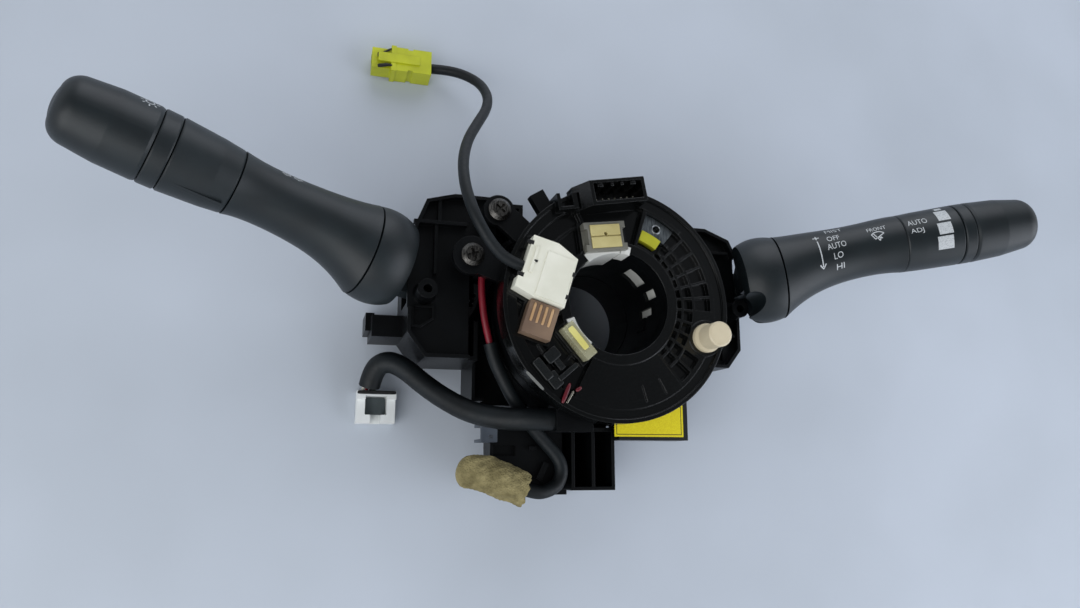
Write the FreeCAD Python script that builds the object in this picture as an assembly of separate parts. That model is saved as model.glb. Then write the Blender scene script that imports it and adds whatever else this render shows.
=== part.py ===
import FreeCAD, Part
import math
import os

V = FreeCAD.Vector
os.makedirs("parts", exist_ok=True)

# The whole unit lies on its back: +Z is the steering axis towards the driver, +Y is up in the car
# and the origin is where the steering axis meets the back rest plane. All sizes are in millimetres.

# clearances
RUN = 0.05            # radial running clearance of a shaft or trunnion
GAP = 0.4             # gap between pieces that move past each other
FAR = 130.0           # past every piece: the length of cuts that go right through

# levels along the steering axis
BACK_T = 2.5          # back plate of the base
BASE_H = 24.0         # top of the base ring, where the angle sensor sits
CASE_H = 38.0         # top of the walls of the two switch cases
COVER_T = 3.0         # plate of each switch case cover
SENSOR_H = 14.0       # angle sensor, from its floor to the top of its cover
SENSOR_WALL = 1.5
STATOR_H = 24.5       # fixed case of the spiral cable
STATOR_FLOOR = 2.0
ROTOR_LIFT = 1.0      # gap between fixed case wall and rotor floor
ROTOR_FLOOR = 2.0
ROTOR_RIM = 6.0       # from rotor floor underside to front rim

# radii about the steering axis
COLUMN_R = 22.3       # bore that slides over the column
COLUMN_WALL = 2.2
HUB_R = 22.5          # inside of the turning hub sleeve
HUB_WALL = 1.7
CORE_WALL = 2.0       # white winding core round the hub sleeve
RING_R = 47.5         # outside of the base ring wall
SENSOR_R = 44.0
STATOR_R = 50.5
STATOR_WALL = 2.0
ROTOR_R = 53.0
ROTOR_SKIRT = 1.8
HOLE_R = 23.2         # front hole of the rotor
WALL = 2.0            # general moulded wall

Z_SENSOR = BASE_H
Z_STATOR = Z_SENSOR + SENSOR_H + 0.5
Z_STATOR_TOP = Z_STATOR + STATOR_H
Z_ROTOR = Z_STATOR_TOP + ROTOR_LIFT
Z_FLOOR = Z_ROTOR + ROTOR_FLOOR
Z_FRONT = Z_ROTOR + ROTOR_RIM
Z_SKIRT = Z_FRONT - 12.0
HUB_OUT = HUB_R + HUB_WALL
CORE_IN = HUB_OUT + 0.1
CORE_OUT = CORE_IN + CORE_WALL
Z_COVER = CASE_H + COVER_T

# angle sensor gear train
MODULE = 1.2
HUB_TEETH = 50
GEAR_A_TEETH = 18
GEAR_B_TEETH = 17
GEAR_A_ANGLE = -38.0
GEAR_B_ANGLE = -74.0
GEAR_PLAY = 0.12      # added centre distance
GEAR_FACE = 4.5
GEAR_Z = Z_SENSOR + 3.2
AXLE_R = 2.0
MAGNET_R = 3.0

# screws
SCREW_HEAD_R = 5.2
SCREW_HEAD_H = 3.0
SCREW_R = 2.0
SCREW_FIT = 0.05
POST_R = 4.5
EAR_R = 8.8
EAR_T = 3.5
EAR_1 = (-63.2, 21.3)
EAR_2 = (-51.2, 43.2)
EAR_Z = Z_STATOR + 11.5

# shroud bosses on the two case covers
BOSS_R = 4.4
BOSS_BORE = 1.9
BOSS_H = 11.0
BOSS_L = (-82.4, 5.2)
BOSS_RT = (70.8, 4.6)
NOTCH = (-10.8, 11.6, -11.1, 8.9)    # room round the right boss that its lever's knuckle leaves
NOTCH_CLEAR = 1.2                    # and round a screw that comes down into the boss

# switch levers: pivot, far line point at the collar, tilt and stations along the lever
PIVOT_DEPTH = 10.0    # pivots below the top of the case walls
PIVOT_L = V(-76.0, 9.5, CASE_H - PIVOT_DEPTH)
PIVOT_R = V(66.0, 15.8, CASE_H - PIVOT_DEPTH)
COLLAR_L = V(-109.8, 23.5, CASE_H + 15.2)
COLLAR_R = V(88.0, 26.8, CASE_H + 17.8)
RISE_L = (-0.906, 0.251, 0.339)
RISE_R = (0.931, 0.157, 0.329)
TRUNNION_R = 2.5
STEM_R = 3.0          # vertical trunnions of a lever carrier
ARM_W = 13.0
ARM_T = 13.0
CARRIER_WALL = 2.4
SPIGOT_R = 9.5
SPIGOT_WALL = 2.0
SHELL_WALL = 2.2

# cord diameters
SQUIB_D = 5.0
HARNESS_D = 10.0
EARTH_D = 3.2
HORN_D = 6.2
FOAM_D = 12.4
FOAM_L = 32.0


def box(x0, x1, y0, y1, z0, z1):
    return Part.makeBox(x1 - x0, y1 - y0, z1 - z0, V(x0, y0, z0))


def cyl(x, y, z0, z1, r):
    return Part.makeCylinder(r, z1 - z0, V(x, y, z0))


def tube(x, y, z0, z1, r_in, r_out):
    return cyl(x, y, z0, z1, r_out).cut(cyl(x, y, z0 - 1, z1 + 1, r_in))


def prism(points, z0, z1):
    corners = [V(p[0], p[1], z0) for p in points]
    face = Part.Face(Part.makePolygon(corners + corners[:1]))
    return face.extrude(V(0, 0, z1 - z0))


def inset(points, z0, z1, wall):
    """Prism of an outline that is drawn in by a wall on every side."""
    corners = [V(p[0], p[1], z0) for p in points]
    wire = Part.makePolygon(corners + corners[:1])
    inner = wire.makeOffset2D(-wall)
    if Part.Face(inner).Area > Part.Face(wire).Area:
        inner = wire.makeOffset2D(wall)
    return Part.Face(inner).extrude(V(0, 0, z1 - z0))


def polar(r, angle):
    a = math.radians(angle)
    return V(r * math.cos(a), r * math.sin(a), 0)


def sector(r0, r1, a0, a1, z0, z1):
    """Block between two radii and two angles in degrees."""
    mid = (a0 + a1) / 2.0
    outer = Part.Arc(polar(r1, a0), polar(r1, mid), polar(r1, a1)).toShape()
    side_1 = Part.makeLine(polar(r1, a1), polar(r0, a1))
    inner = Part.Arc(polar(r0, a1), polar(r0, mid), polar(r0, a0)).toShape()
    side_0 = Part.makeLine(polar(r0, a0), polar(r1, a0))
    face = Part.Face(Part.Wire([outer, side_1, inner, side_0]))
    face.translate(V(0, 0, z0))
    return face.extrude(V(0, 0, z1 - z0))


def fuse(shapes):
    whole = shapes[0]
    if len(shapes) > 1:
        whole = whole.multiFuse(shapes[1:])
    return whole.removeSplitter()


def cut(shape, tools):
    return shape.cut(tools)


def save(node, shape):
    solids = shape.Solids
    if not solids or not shape.isValid():
        raise ValueError("bad solid in " + node)
    body = solids[0] if len(solids) == 1 else Part.makeCompound(solids)
    body.exportStep("parts/" + node + ".step")
    volume = sum(s.Volume for s in solids)
    print("%-22s solids %2d  volume %9.1f" % (node, len(solids), volume))


def turned(shape, angle, centre=V(0, 0, 0)):
    moved = shape.copy()
    moved.rotate(centre, V(0, 0, 1), angle)
    return moved


# Base of the combination switch

LEFT_CASE = [(-90, -13), (-90, 31), (-83, 48.5), (-70, 52), (-36, 52), (-36, 36), (-57, 22),
             (-57, -24), (-82, -24)]
RIGHT_CASE = [(50, -24), (67, -24), (74, -15), (74, 33), (70, 41), (57, 46), (36, 46), (36, 36),
              (50, 24)]
COVER_RIM = 4.0
LEFT_COVER_EDGE = -62.0
RIGHT_COVER_EDGE = 55.0
SCREW_POSTS = [EAR_1, EAR_2]
RIB_COUNT = 12
BACK_OUTLINE = [(-90, -13), (-90, 31), (-83, 48.5), (-70, 52), (57, 46), (70, 41), (74, 33),
                (74, -15), (67, -24), (-82, -24)]


def post(x, y, top):
    """Hollow screw post that stands on the back plate."""
    return cut(cyl(x, y, 0, top, POST_R), [cyl(x, y, top - 14, top + 1, SCREW_R)])


def base_housing():
    whole = [prism(BACK_OUTLINE, 0, BACK_T)]
    for outline in (LEFT_CASE, RIGHT_CASE):
        wall = prism(outline, 0, CASE_H)
        whole.append(cut(wall, [inset(outline, BACK_T, CASE_H + 1, WALL)]))
    whole.append(cyl(0, 0, 0, BASE_H, RING_R))
    clear_z = CASE_H + 20
    body = fuse(whole)
    # inside of the base ring: column tube, outer wall and radial ribs stay
    hollow = cyl(0, 0, BACK_T, BASE_H + 1, RING_R - WALL)
    hollow = cut(hollow, [cyl(0, 0, 0, BASE_H + 2, COLUMN_R + COLUMN_WALL)])
    ribs = []
    for i in range(RIB_COUNT):
        rib = box(COLUMN_R + COLUMN_WALL - 0.5, RING_R, -0.8, 0.8, 0, BASE_H - 6)
        ribs.append(turned(rib, 15 + i * 360.0 / RIB_COUNT))
    hollow = cut(hollow, ribs)
    body = cut(body, [hollow])
    # room above the ring for the sensor and the spiral cable case
    room = [cyl(0, 0, BASE_H, clear_z, SENSOR_R + 1.5)]
    room.append(cyl(0, 0, Z_STATOR - 1, clear_z, STATOR_R + 1.5))
    body = cut(body, room)
    extra = []
    for centre in SCREW_POSTS:
        extra.append(post(centre[0], centre[1], EAR_Z))
    # bearings under the two lever carriers
    for pivot in (PIVOT_L, PIVOT_R):
        seat = cyl(pivot.x, pivot.y, BACK_T - 0.5, pivot.z - 11.0, STEM_R + 2.2)
        extra.append(seat)
    # rails and stop walls in the open cable bay
    extra.append(box(-61.6, -60.2, -22.5, -8, BACK_T - 0.5, 33))
    extra.append(box(-57.5, -56.0, -41.5, -23.5, 0, 28))
    extra.append(box(-57.5, -52, -41.5, -40, 0, 28))
    extra.append(box(-57.5, -24, -41.5, -20, 0, BACK_T))
    extra.append(box(-104, -89, -13, -3, 0, 27))
    extra.append(box(-106.5, -102.5, -9.5, -1, 0, 20))
    body = fuse([body] + extra)
    holes = [cyl(0, 0, -1, BASE_H + 1, COLUMN_R)]
    for pivot in (PIVOT_L, PIVOT_R):
        holes.append(cyl(pivot.x, pivot.y, pivot.z - 16.0, pivot.z - 10.0, STEM_R + RUN))
    # windows for the detent tracks in the inner walls, which stop at the base ring
    for lever in (LEFT, RIGHT):
        window = lever.bar(-22, -11, TRACK_HALF + 2, BACK_T, CASE_H + 1)
        holes.append(cut(window, [cyl(0, 0, 0, CASE_H + 1, RING_R)]))
    # lever openings in the outer walls
    sill = PIVOT_L.z - 11.5
    holes.append(box(-92, -87, 1, 29, sill, CASE_H + 1))
    holes.append(box(71, 76, 3, 31, sill, CASE_H + 1))
    # drain and moulding windows in the back and side walls
    holes.append(box(-86, -66, 30, 44, -1, BACK_T + 1))
    holes.append(box(-80, -66, -20, -10, -1, BACK_T + 1))
    holes.append(box(54, 66, -20, -6, -1, BACK_T + 1))
    for x0 in (-52.0, -44.0):
        holes.append(box(x0, x0 + 5, 50, 54, 12, 30))
    return cut(body, holes)


def case_cover(outline, edge, left):
    """Cover plate of a switch case with raised rim, ribs and a shroud boss."""
    plate = prism(outline, CASE_H, Z_COVER)
    rim = cut(prism(outline, Z_COVER, Z_COVER + COVER_RIM), [inset(outline, Z_COVER - 1, FAR, 1.6)])
    body = fuse([plate, rim])
    if left:
        body = cut(body, [box(edge, FAR, -60, 32, 0, FAR), box(-50, FAR, -60, 60, 0, FAR)])
        boss = BOSS_L
        pivot = PIVOT_L
        ribs = [box(-79, -77.4, 14, 38, Z_COVER, Z_COVER + 3)]
        ribs.append(box(-88.5, -64, 37, 38.6, Z_COVER, Z_COVER + 4))
        ribs.append(box(-77.6, -76, 38, 50, Z_COVER, Z_COVER + 3))
        pocket = [(-88.2, -0.6), (-78, -0.6), (-78, -6.5), (-83.8, -10.5), (-88.2, -10.5)]
        ring = cut(prism(pocket, Z_COVER, Z_COVER + 1.8), [inset(pocket, 0, FAR, 1.0)])
        ribs.append(ring)
        floor = inset(pocket, Z_COVER - 1.2, Z_COVER + 1, 1.0)
        lever = box(-95, -86.4, -2, 32, Z_COVER, FAR)
    else:
        body = cut(body, [box(-FAR, edge, -60, 26, 0, FAR)])
        boss = BOSS_RT
        pivot = PIVOT_R
        ribs = [box(56, 72, -8.5, -7, Z_COVER, Z_COVER + 3)]
        ribs.append(box(56.5, 58, -22, -8, Z_COVER, Z_COVER + 3))
        ribs.append(box(56, 70, 33.5, 35, Z_COVER, Z_COVER + 3))
        floor = box(60, 66, -20, -12, Z_COVER - 1.2, Z_COVER + 1)
        lever = box(69.4, 80, 2, 32, Z_COVER, FAR)
    drum = cyl(0, 0, 0, FAR, STATOR_R + 1.5)
    body = cut(body, [drum, lever])
    raised = [cyl(boss[0], boss[1], CASE_H + 0.5, Z_COVER + BOSS_H, BOSS_R)]
    raised.append(Part.makeCone(BOSS_R + 0.8, BOSS_R, 3, V(boss[0], boss[1], Z_COVER)))
    body = fuse([body] + [cut(r, [drum, lever]) for r in ribs] + raised)
    holes = [cyl(boss[0], boss[1], Z_COVER, Z_COVER + BOSS_H + 1, BOSS_BORE)]
    holes.append(cyl(pivot.x, pivot.y, CASE_H - 1, CASE_H + 2.0, STEM_R + RUN))
    holes.append(floor)
    for centre in SCREW_POSTS:
        holes.append(cyl(centre[0], centre[1], 0, FAR, POST_R + 0.3))
    return cut(body, holes)


# Switch levers. Each is drawn in its own frame: w runs along the lever, u points down in the car.

class Lever:
    """Frame and sizes of one switch lever."""

    def __init__(self, pivot, collar, rise, stops, sections, ring, band, tip, knob_r):
        self.pivot = pivot
        self.stops = stops
        self.w = V(*rise).normalize()
        flat = V(self.w.x, self.w.y, 0).normalize()
        self.flat = flat
        down = V(flat.y, -flat.x, 0)
        if down.y > 0:
            down = down * -1
        self.u = down
        self.v = self.w.cross(self.u)
        if self.v.z < 0:
            self.v = self.v * -1
        self.collar = collar
        self.sections = sections
        self.ring = ring
        self.band = band
        self.tip = tip
        self.knob_r = knob_r

    def at(self, s, across=0.0, up=0.0):
        return self.collar + self.w * s + self.u * across + self.v * up

    def ellipse(self, s, across, half_u, half_v):
        """Closed ellipse across the lever; its long axis is always u, so lofts don't twist."""
        centre = self.at(s, across)
        major = max(half_u, half_v + 0.002)
        curve = Part.Ellipse(centre + self.u * major, centre + self.v * half_v, centre)
        return Part.Wire([curve.toShape()])

    def loft(self, sections, wall=0.0):
        wires = [self.ellipse(s, c, a - wall, b - wall) for s, c, a, b in sections]
        return Part.makeLoft(wires, True, False)

    def turned_profile(self, points):
        """Solid of revolution about the lever from (station, radius) points."""
        corners = [self.at(s, 0, r) for s, r in points]
        face = Part.Face(Part.makePolygon(corners + corners[:1]))
        return face.revolve(self.collar, self.w, 360)

    def bar(self, start, end, half, z0, z1):
        """Level bar along the lever's plan direction, measured from the pivot."""
        a = self.pivot + self.flat * start
        b = self.pivot + self.flat * end
        side = self.u * half
        corners = [a + side, b + side, b - side, a - side]
        return prism([(c.x, c.y) for c in corners], z0, z1)


LEFT = Lever(PIVOT_L, COLLAR_L, RISE_L, (-8, 0, 8),
             [(0.8, 3.4, 20.3, 17.6), (6, 2.4, 18.0, 16.4), (16, 1.0, 15.0, 14.6),
              (30, 0.2, 12.9, 12.9), (42, 0, 12.2, 12.2), (58.2, 0, 13.3, 13.3)],
             (58.6, 82.8), (83.2, 89.5), 123.0, 14.9)
RIGHT = Lever(PIVOT_R, COLLAR_R, RISE_R, (-12, -8, -4, 0, 5),
              [(0.8, 6.6, 20.3, 17.6), (6, 5.0, 18.4, 16.6), (16, 2.6, 15.8, 15.2),
               (30, 0.8, 13.8, 13.8), (42, 0, 13.3, 13.3), (61.2, 0, 14.1, 14.1)],
              (61.6, 88.5), (88.9, 94.3), 128.0, 14.7)
COLLAR_GAP = 0.8
KNUCKLE = -17.5
KNOB_BORE = 14.0


LEFT_ROOM = (-93.8, -60.0)
RIGHT_ROOM = (50.0, 76.4)
RIDGE_TURN = 59.0
RIDGE_L = 17.7
RIDGE_W = 1.8
RIDGE_H = 1.2


def swept_case(lever, x0, x1):
    """Room that a case needs beside the knuckle over the lever's whole travel."""
    case = box(x0, x1, -60, 80, 0, Z_COVER + COVER_RIM + 0.5)
    ends = [turned(case, angle, lever.pivot) for angle in (-max(lever.stops), 0, -min(lever.stops))]
    return fuse(ends)


def boss_notch():
    """Room that the right boss needs over its lever's travel, and its screw straight above it."""
    x, y = BOSS_RT
    low = PIVOT_R.z
    room = box(x + NOTCH[0], x + NOTCH[1], y + NOTCH[2], y + NOTCH[3], low, Z_COVER + BOSS_H + 1.5)
    return fuse([room, cyl(x, y, low, FAR, BOSS_R + NOTCH_CLEAR)])


def lever_arm(lever, keep_out):
    """Knuckle at the collar, and the flat arm with its trunnions inside the case."""
    first = lever.sections[0]
    wide = (first[1], first[2], first[3])
    knuckle = lever.loft([(KNUCKLE, wide[0], wide[1] - 1.8, wide[2] - 1.6),
                          (KNUCKLE + 4, wide[0], wide[1], wide[2]),
                          (0, wide[0], wide[1], wide[2])])
    knuckle = cut(knuckle, [keep_out])
    reach = (lever.at(KNUCKLE) - lever.pivot).dot(lever.flat)
    low = lever.pivot.z - 7.0
    arm = lever.bar(-4.5, reach + 10, ARM_W / 2, low, low + ARM_T)
    nose = cyl(lever.pivot.x, lever.pivot.y, low, low + ARM_T, ARM_W / 2)
    gusset = lever.bar(reach + 1.5, reach + 13, ARM_W / 2 + 2, low + 2, low + 17)
    gusset = cut(gusset, [keep_out])
    pins = []
    for side in (1, -1):
        foot = lever.pivot + lever.u * (side * ARM_W / 2)
        pins.append(Part.makeCylinder(TRUNNION_R, CARRIER_WALL + 0.6, foot, lever.u * side))
    end = lever.sections[-1][0]
    core = Part.makeCylinder(SPIGOT_R - SPIGOT_WALL, end + 2, lever.at(-8), lever.w)
    return fuse([knuckle, arm, nose, gusset, core] + pins)


def lever_carrier(lever):
    """Cradle that turns on two vertical stems and carries the arm between its cheeks."""
    half = ARM_W / 2 + 0.8 + CARRIER_WALL
    low = lever.pivot.z - 10.6
    top = lever.pivot.z + 9.2
    frame = lever.bar(-8.0, 5.0, half, low, top)
    frame = frame.common(cyl(lever.pivot.x, lever.pivot.y, low, top, CARRIER_REACH))
    room = lever.bar(-20, 20, half - CARRIER_WALL, low + 2.2, top - 2.0)
    stems = [cyl(lever.pivot.x, lever.pivot.y, low - 4.6, low, STEM_R)]
    stems.append(cyl(lever.pivot.x, lever.pivot.y, top, CASE_H + 1.7, STEM_R))
    back = lever.bar(-9.8, -7.5, 7.4, low, top)
    axis = lever.pivot - lever.flat * 9.8
    nose = Part.makeCylinder(3.9, 4.6, axis, lever.flat * -1)
    bore = Part.makeCylinder(PLUNGER_R + RUN, 7.0, axis + lever.flat * 1.0, lever.flat * -1)
    eye = Part.makeCylinder(TRUNNION_R + RUN, 60, lever.pivot - lever.u * 30, lever.u)
    return cut(fuse([cut(frame, [room]), back, nose] + stems), [bore, eye])


CARRIER_REACH = 12.3
PLUNGER_R = 2.4
PLUNGER_TIP = 17.2
TRACK_IN = 17.6
TRACK_HALF = 8.0


def detent_plunger(lever):
    """Domed pin that the spring presses against the detent track."""
    start = lever.pivot - lever.flat * 12.4
    body = Part.makeCylinder(PLUNGER_R, 3.0, start, lever.flat * -1)
    dome = Part.makeCone(PLUNGER_R, 1.0, 1.8, start - lever.flat * 3.0, lever.flat * -1)
    return fuse([body, dome])


def detent_spring(lever):
    """Coil spring behind the plunger: an eight-sided helix of square wire."""
    start = lever.pivot - lever.flat * 9.0
    side = lever.u
    up = V(0, 0, 1)
    turns = 3.5
    length = 2.9
    radius = 1.7
    count = int(turns * 8)
    points = []
    for i in range(count + 1):
        a = 2 * math.pi * i / 8
        out = side * (radius * math.cos(a)) + up * (radius * math.sin(a))
        points.append(start - lever.flat * (0.2 + length * i / count) + out)
    path = Part.makePolygon(points)
    heading = (points[1] - points[0]).normalize()
    out = (points[0] - (start - lever.flat * 0.2)).normalize() * 0.22
    rise = heading.cross(out).normalize() * 0.22
    first = points[0]
    corners = [first + out + rise, first - out + rise, first - out - rise, first + out - rise]
    section = Part.makePolygon(corners + corners[:1])
    return path.makePipeShell([section], True, False, 1)


def detent_track(lever):
    """Curved wall with a notch for each lever position; it stands on the back plate."""
    low = lever.pivot.z - 5.5
    outer = cyl(lever.pivot.x, lever.pivot.y, BACK_T, low + 11, TRACK_IN + 2.6)
    inner = cyl(lever.pivot.x, lever.pivot.y, 0, 60, TRACK_IN)
    ring = cut(outer, [inner])
    keep = lever.bar(-30, -10, TRACK_HALF, 0, 60)
    ring = cut(ring.common(keep), [cyl(0, 0, 0, 60, RING_R)])
    notches = []
    for angle in lever.stops:
        centre = lever.pivot - lever.flat * TRACK_IN
        notch = cyl(centre.x, centre.y, low, 60, 1.1)
        notches.append(turned(notch, angle, lever.pivot))
    return cut(ring, notches)


def contact_board(lever):
    """Switch circuit board on the case floor with its fixed contact strips."""
    low = BACK_T
    board = lever.bar(-9, 3, 12, low, low + 1.6)
    room = [cyl(x, y, 0, 20, POST_R + 0.3) for x, y in SCREW_POSTS]
    board = cut(board, room + [cyl(lever.pivot.x, lever.pivot.y, 0, 20, STEM_R + 3.0)])
    strips = []
    for k in (-9.5, -7.5, 7.5, 9.5):
        centre = lever.pivot + lever.u * k - lever.flat * 3.0
        strip = prism_bar(centre, lever.flat, 5.0, 0.6, low + 1.6, low + 2.0)
        strips.append(strip)
    return fuse([board] + strips)


def prism_bar(centre, along, half_length, half_width, z0, z1):
    side = V(-along.y, along.x, 0)
    a = centre - along * half_length
    b = centre + along * half_length
    corners = [a + side * half_width, b + side * half_width, b - side * half_width, a - side * half_width]
    return prism([(c.x, c.y) for c in corners], z0, z1)


def lever_shell(lever):
    """Flared hollow body of the lever with the spigot that its rings turn on."""
    outer = lever.loft(lever.sections)
    inner_sections = [(lever.sections[0][0] - 1,) + lever.sections[0][1:]] + list(lever.sections[1:5])
    inner = lever.loft(inner_sections, SHELL_WALL)
    end = lever.sections[-1][0]
    spigot = lever.turned_profile([(end - 14, SPIGOT_R - SPIGOT_WALL), (end - 14, SPIGOT_R),
                                   (lever.band[1] + KNOB_BORE - 2, SPIGOT_R),
                                   (lever.band[1] + KNOB_BORE - 2, SPIGOT_R - SPIGOT_WALL)])
    bore = lever.turned_profile([(30, 0), (30, SPIGOT_R - SPIGOT_WALL),
                                 (end + 1, SPIGOT_R - SPIGOT_WALL), (end + 1, 0)])
    return fuse([cut(outer, [inner, bore]), spigot])


def lever_ring(lever, ridge_turn):
    """Turning ring between the shell and the index band; the fog light ring has a finger ridge."""
    s0, s1 = lever.ring
    r0 = lever.sections[-1][2]
    r1 = lever.knob_r
    bore = SPIGOT_R + RUN
    profile = [(s0, bore), (s0, r0 - 0.4), (s0 + 0.6, r0)]
    profile += [(s0 + 8, r0 + (r1 - r0) * 0.5), (s1 - 0.6, r1), (s1, r1 - 0.4), (s1, bore)]
    ring = lever.turned_profile(profile)
    if ridge_turn is None:
        return ring
    rib = lever.at(s0 + 2, 0, 0)
    ridge = Part.makeBox(RIDGE_L, RIDGE_W, RIDGE_H, V(0, 0, 0))
    frame = FreeCAD.Matrix(lever.w.x, lever.u.x, lever.v.x, rib.x,
                           lever.w.y, lever.u.y, lever.v.y, rib.y,
                           lever.w.z, lever.u.z, lever.v.z, rib.z)
    ridge.translate(V(0, -RIDGE_W / 2, r0 + 0.2))
    ridge = ridge.transformGeometry(frame)
    ridge.rotate(lever.collar, lever.w, -ridge_turn)
    return fuse([ring, ridge])


def index_band(lever):
    """Fixed band with the index mark, pressed on the spigot."""
    s0, s1 = lever.band
    r = lever.knob_r
    profile = [(s0, SPIGOT_R), (s0, r - 0.3), (s0 + 0.5, r), (s1 - 0.5, r), (s1, r - 0.3), (s1, SPIGOT_R)]
    return lever.turned_profile(profile)


def lever_knob(lever, taper):
    """End knob: a slim cone with a rounded tip, blind bored for the spigot."""
    s0 = lever.band[1] + GAP
    s1 = lever.tip
    r = lever.knob_r
    bore = SPIGOT_R + RUN
    tip = r * taper
    start = lever.at(s0, 0, r - 0.4)
    round_1 = lever.at(s1 - 7.5, 0, tip)
    mid_1 = lever.at(s1 - 2.9, 0, tip - 2.3)
    cap_r = tip - 7.0
    cap_h = 0.9
    sphere = (cap_r ** 2 + cap_h ** 2) / (2 * cap_h)
    end_1 = lever.at(s1 - cap_h, 0, cap_r)
    crown = lever.at(s1, 0, 0)
    crown_mid = lever.at(s1 - sphere + math.sqrt(sphere ** 2 - cap_r ** 2 / 4), 0, cap_r / 2)
    shoulder = lever.at(s0 + 1.2, 0, r)
    swell = lever.at((s0 + s1) / 2 - 2, 0, (r + tip) / 2 + 0.5)
    edges = [Part.makeLine(lever.at(s0, 0, bore), start)]
    barrel = [start, shoulder, swell, round_1]
    edges += [Part.makeLine(barrel[i], barrel[i + 1]) for i in range(3)]
    edges.append(Part.Arc(round_1, mid_1, end_1).toShape())
    edges.append(Part.Arc(end_1, crown_mid, crown).toShape())
    edges.append(Part.makeLine(crown, lever.at(s0 + KNOB_BORE, 0, 0)))
    edges.append(Part.makeLine(lever.at(s0 + KNOB_BORE, 0, 0), lever.at(s0 + KNOB_BORE, 0, bore)))
    edges.append(Part.makeLine(lever.at(s0 + KNOB_BORE, 0, bore), lever.at(s0, 0, bore)))
    face = Part.Face(Part.Wire(Part.__sortEdges__(edges)))
    return face.revolve(lever.collar, lever.w, 360)


# Steering angle sensor

def involute(teeth, phase):
    """Outline of a spur gear; flanks follow the 20 degree involute."""
    pitch = MODULE * teeth / 2
    tip = pitch + 0.9 * MODULE
    root = pitch - 1.15 * MODULE
    base = pitch * math.cos(math.radians(20))

    def inv(radius):
        a = math.acos(min(1.0, base / radius))
        return math.tan(a) - a

    half = math.pi / (2 * teeth) * 0.86
    radii = [max(root, base * 1.001), (max(root, base) + pitch) / 2, pitch + 0.3 * MODULE, tip]
    points = []
    for k in range(teeth):
        centre = math.radians(phase) + 2 * math.pi * k / teeth
        rising = []
        for radius in radii:
            width = half + inv(pitch) - inv(radius)
            rising.append((radius, width))
        if root < radii[0] - 0.05:
            rising.insert(0, (root, rising[0][1]))
        for radius, width in rising:
            points.append((radius * math.cos(centre - width), radius * math.sin(centre - width)))
        for radius, width in reversed(rising):
            points.append((radius * math.cos(centre + width), radius * math.sin(centre + width)))
    return points


def gear_centre(teeth, angle):
    distance = MODULE * (HUB_TEETH + teeth) / 2 + GEAR_PLAY
    return polar(distance, angle)


def hub_gear():
    """Ring gear that the hub sleeve turns inside the angle sensor."""
    ring = prism(involute(HUB_TEETH, 0), GEAR_Z, GEAR_Z + GEAR_FACE)
    collar = cyl(0, 0, GEAR_Z - 0.8, GEAR_Z + GEAR_FACE + 2.0, 26.4)
    return cut(fuse([ring, collar]), [cyl(0, 0, 0, FAR, HUB_OUT)])


def measuring_gear(teeth, angle):
    """Small gear that meshes with the ring gear and carries a magnet."""
    pitch = 360.0 / HUB_TEETH
    nearest = round(angle / pitch) * pitch
    offset = nearest - angle
    gap = angle + 180 - offset * HUB_TEETH / teeth
    gear = prism(involute(teeth, gap + 180.0 / teeth), GEAR_Z, GEAR_Z + GEAR_FACE)
    boss = cyl(0, 0, GEAR_Z - 0.8, GEAR_Z + GEAR_FACE + 1.2, MAGNET_R + 1.2)
    seat = cyl(0, 0, GEAR_Z + GEAR_FACE - 0.6, FAR, MAGNET_R)
    axle = cyl(0, 0, 0, GEAR_Z + 3.2, AXLE_R + RUN)
    gear = cut(fuse([gear, boss]), [seat, axle])
    gear.translate(gear_centre(teeth, angle))
    return gear


def magnet(teeth, angle):
    disc = cyl(0, 0, GEAR_Z + GEAR_FACE - 0.6, GEAR_Z + GEAR_FACE + 1.2, MAGNET_R)
    disc.translate(gear_centre(teeth, angle))
    return disc


GEARS = [(GEAR_A_TEETH, GEAR_A_ANGLE), (GEAR_B_TEETH, GEAR_B_ANGLE)]
SENSOR_BOX = (11.5, 47.0, -59.0, -12.0)
SENSOR_LOBE = 13.4
Z_BOARD = GEAR_Z + GEAR_FACE + 2.0
SENSOR_TOP = Z_SENSOR + SENSOR_H


def sensor_outline(grow, z0, z1):
    x0, x1, y0, y1 = SENSOR_BOX
    disc = cyl(0, 0, z0, z1, SENSOR_R + grow)
    block = box(x0 - grow, x1 + grow, y0 - grow, y1 + grow, z0, z1)
    c = gear_centre(GEAR_B_TEETH, GEAR_B_ANGLE)
    return fuse([disc, block, cyl(c.x, c.y, z0, z1, SENSOR_LOBE + grow)])


def sensor_housing():
    """Tray with a collar round the hub, two gear axles and board posts."""
    wall_top = SENSOR_TOP - SENSOR_WALL
    tray = sensor_outline(0, Z_SENSOR, wall_top)
    tray = cut(tray, [sensor_outline(-SENSOR_WALL, Z_SENSOR + SENSOR_WALL, wall_top + 1)])
    tray = cut(tray, [cyl(0, 0, 0, FAR, HUB_OUT + 1.0)])
    collar = tube(0, 0, Z_SENSOR, GEAR_Z - 1.2, HUB_OUT + 1.0, HUB_OUT + 2.4)
    parts = [tray, collar]
    for teeth, angle in GEARS:
        c = gear_centre(teeth, angle)
        parts.append(cyl(c.x, c.y, Z_SENSOR, GEAR_Z + 2.8, AXLE_R))
        parts.append(cyl(c.x, c.y, Z_SENSOR, GEAR_Z - 1.0, AXLE_R + 1.6))
    for x, y in BOARD_POSTS:
        parts.append(cyl(x, y, Z_SENSOR, Z_BOARD, 2.0))
    return fuse(parts)


BOARD_POSTS = [(43.5, -55.5), (15.5, -55.5), (43.5, -40.0)]


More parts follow.
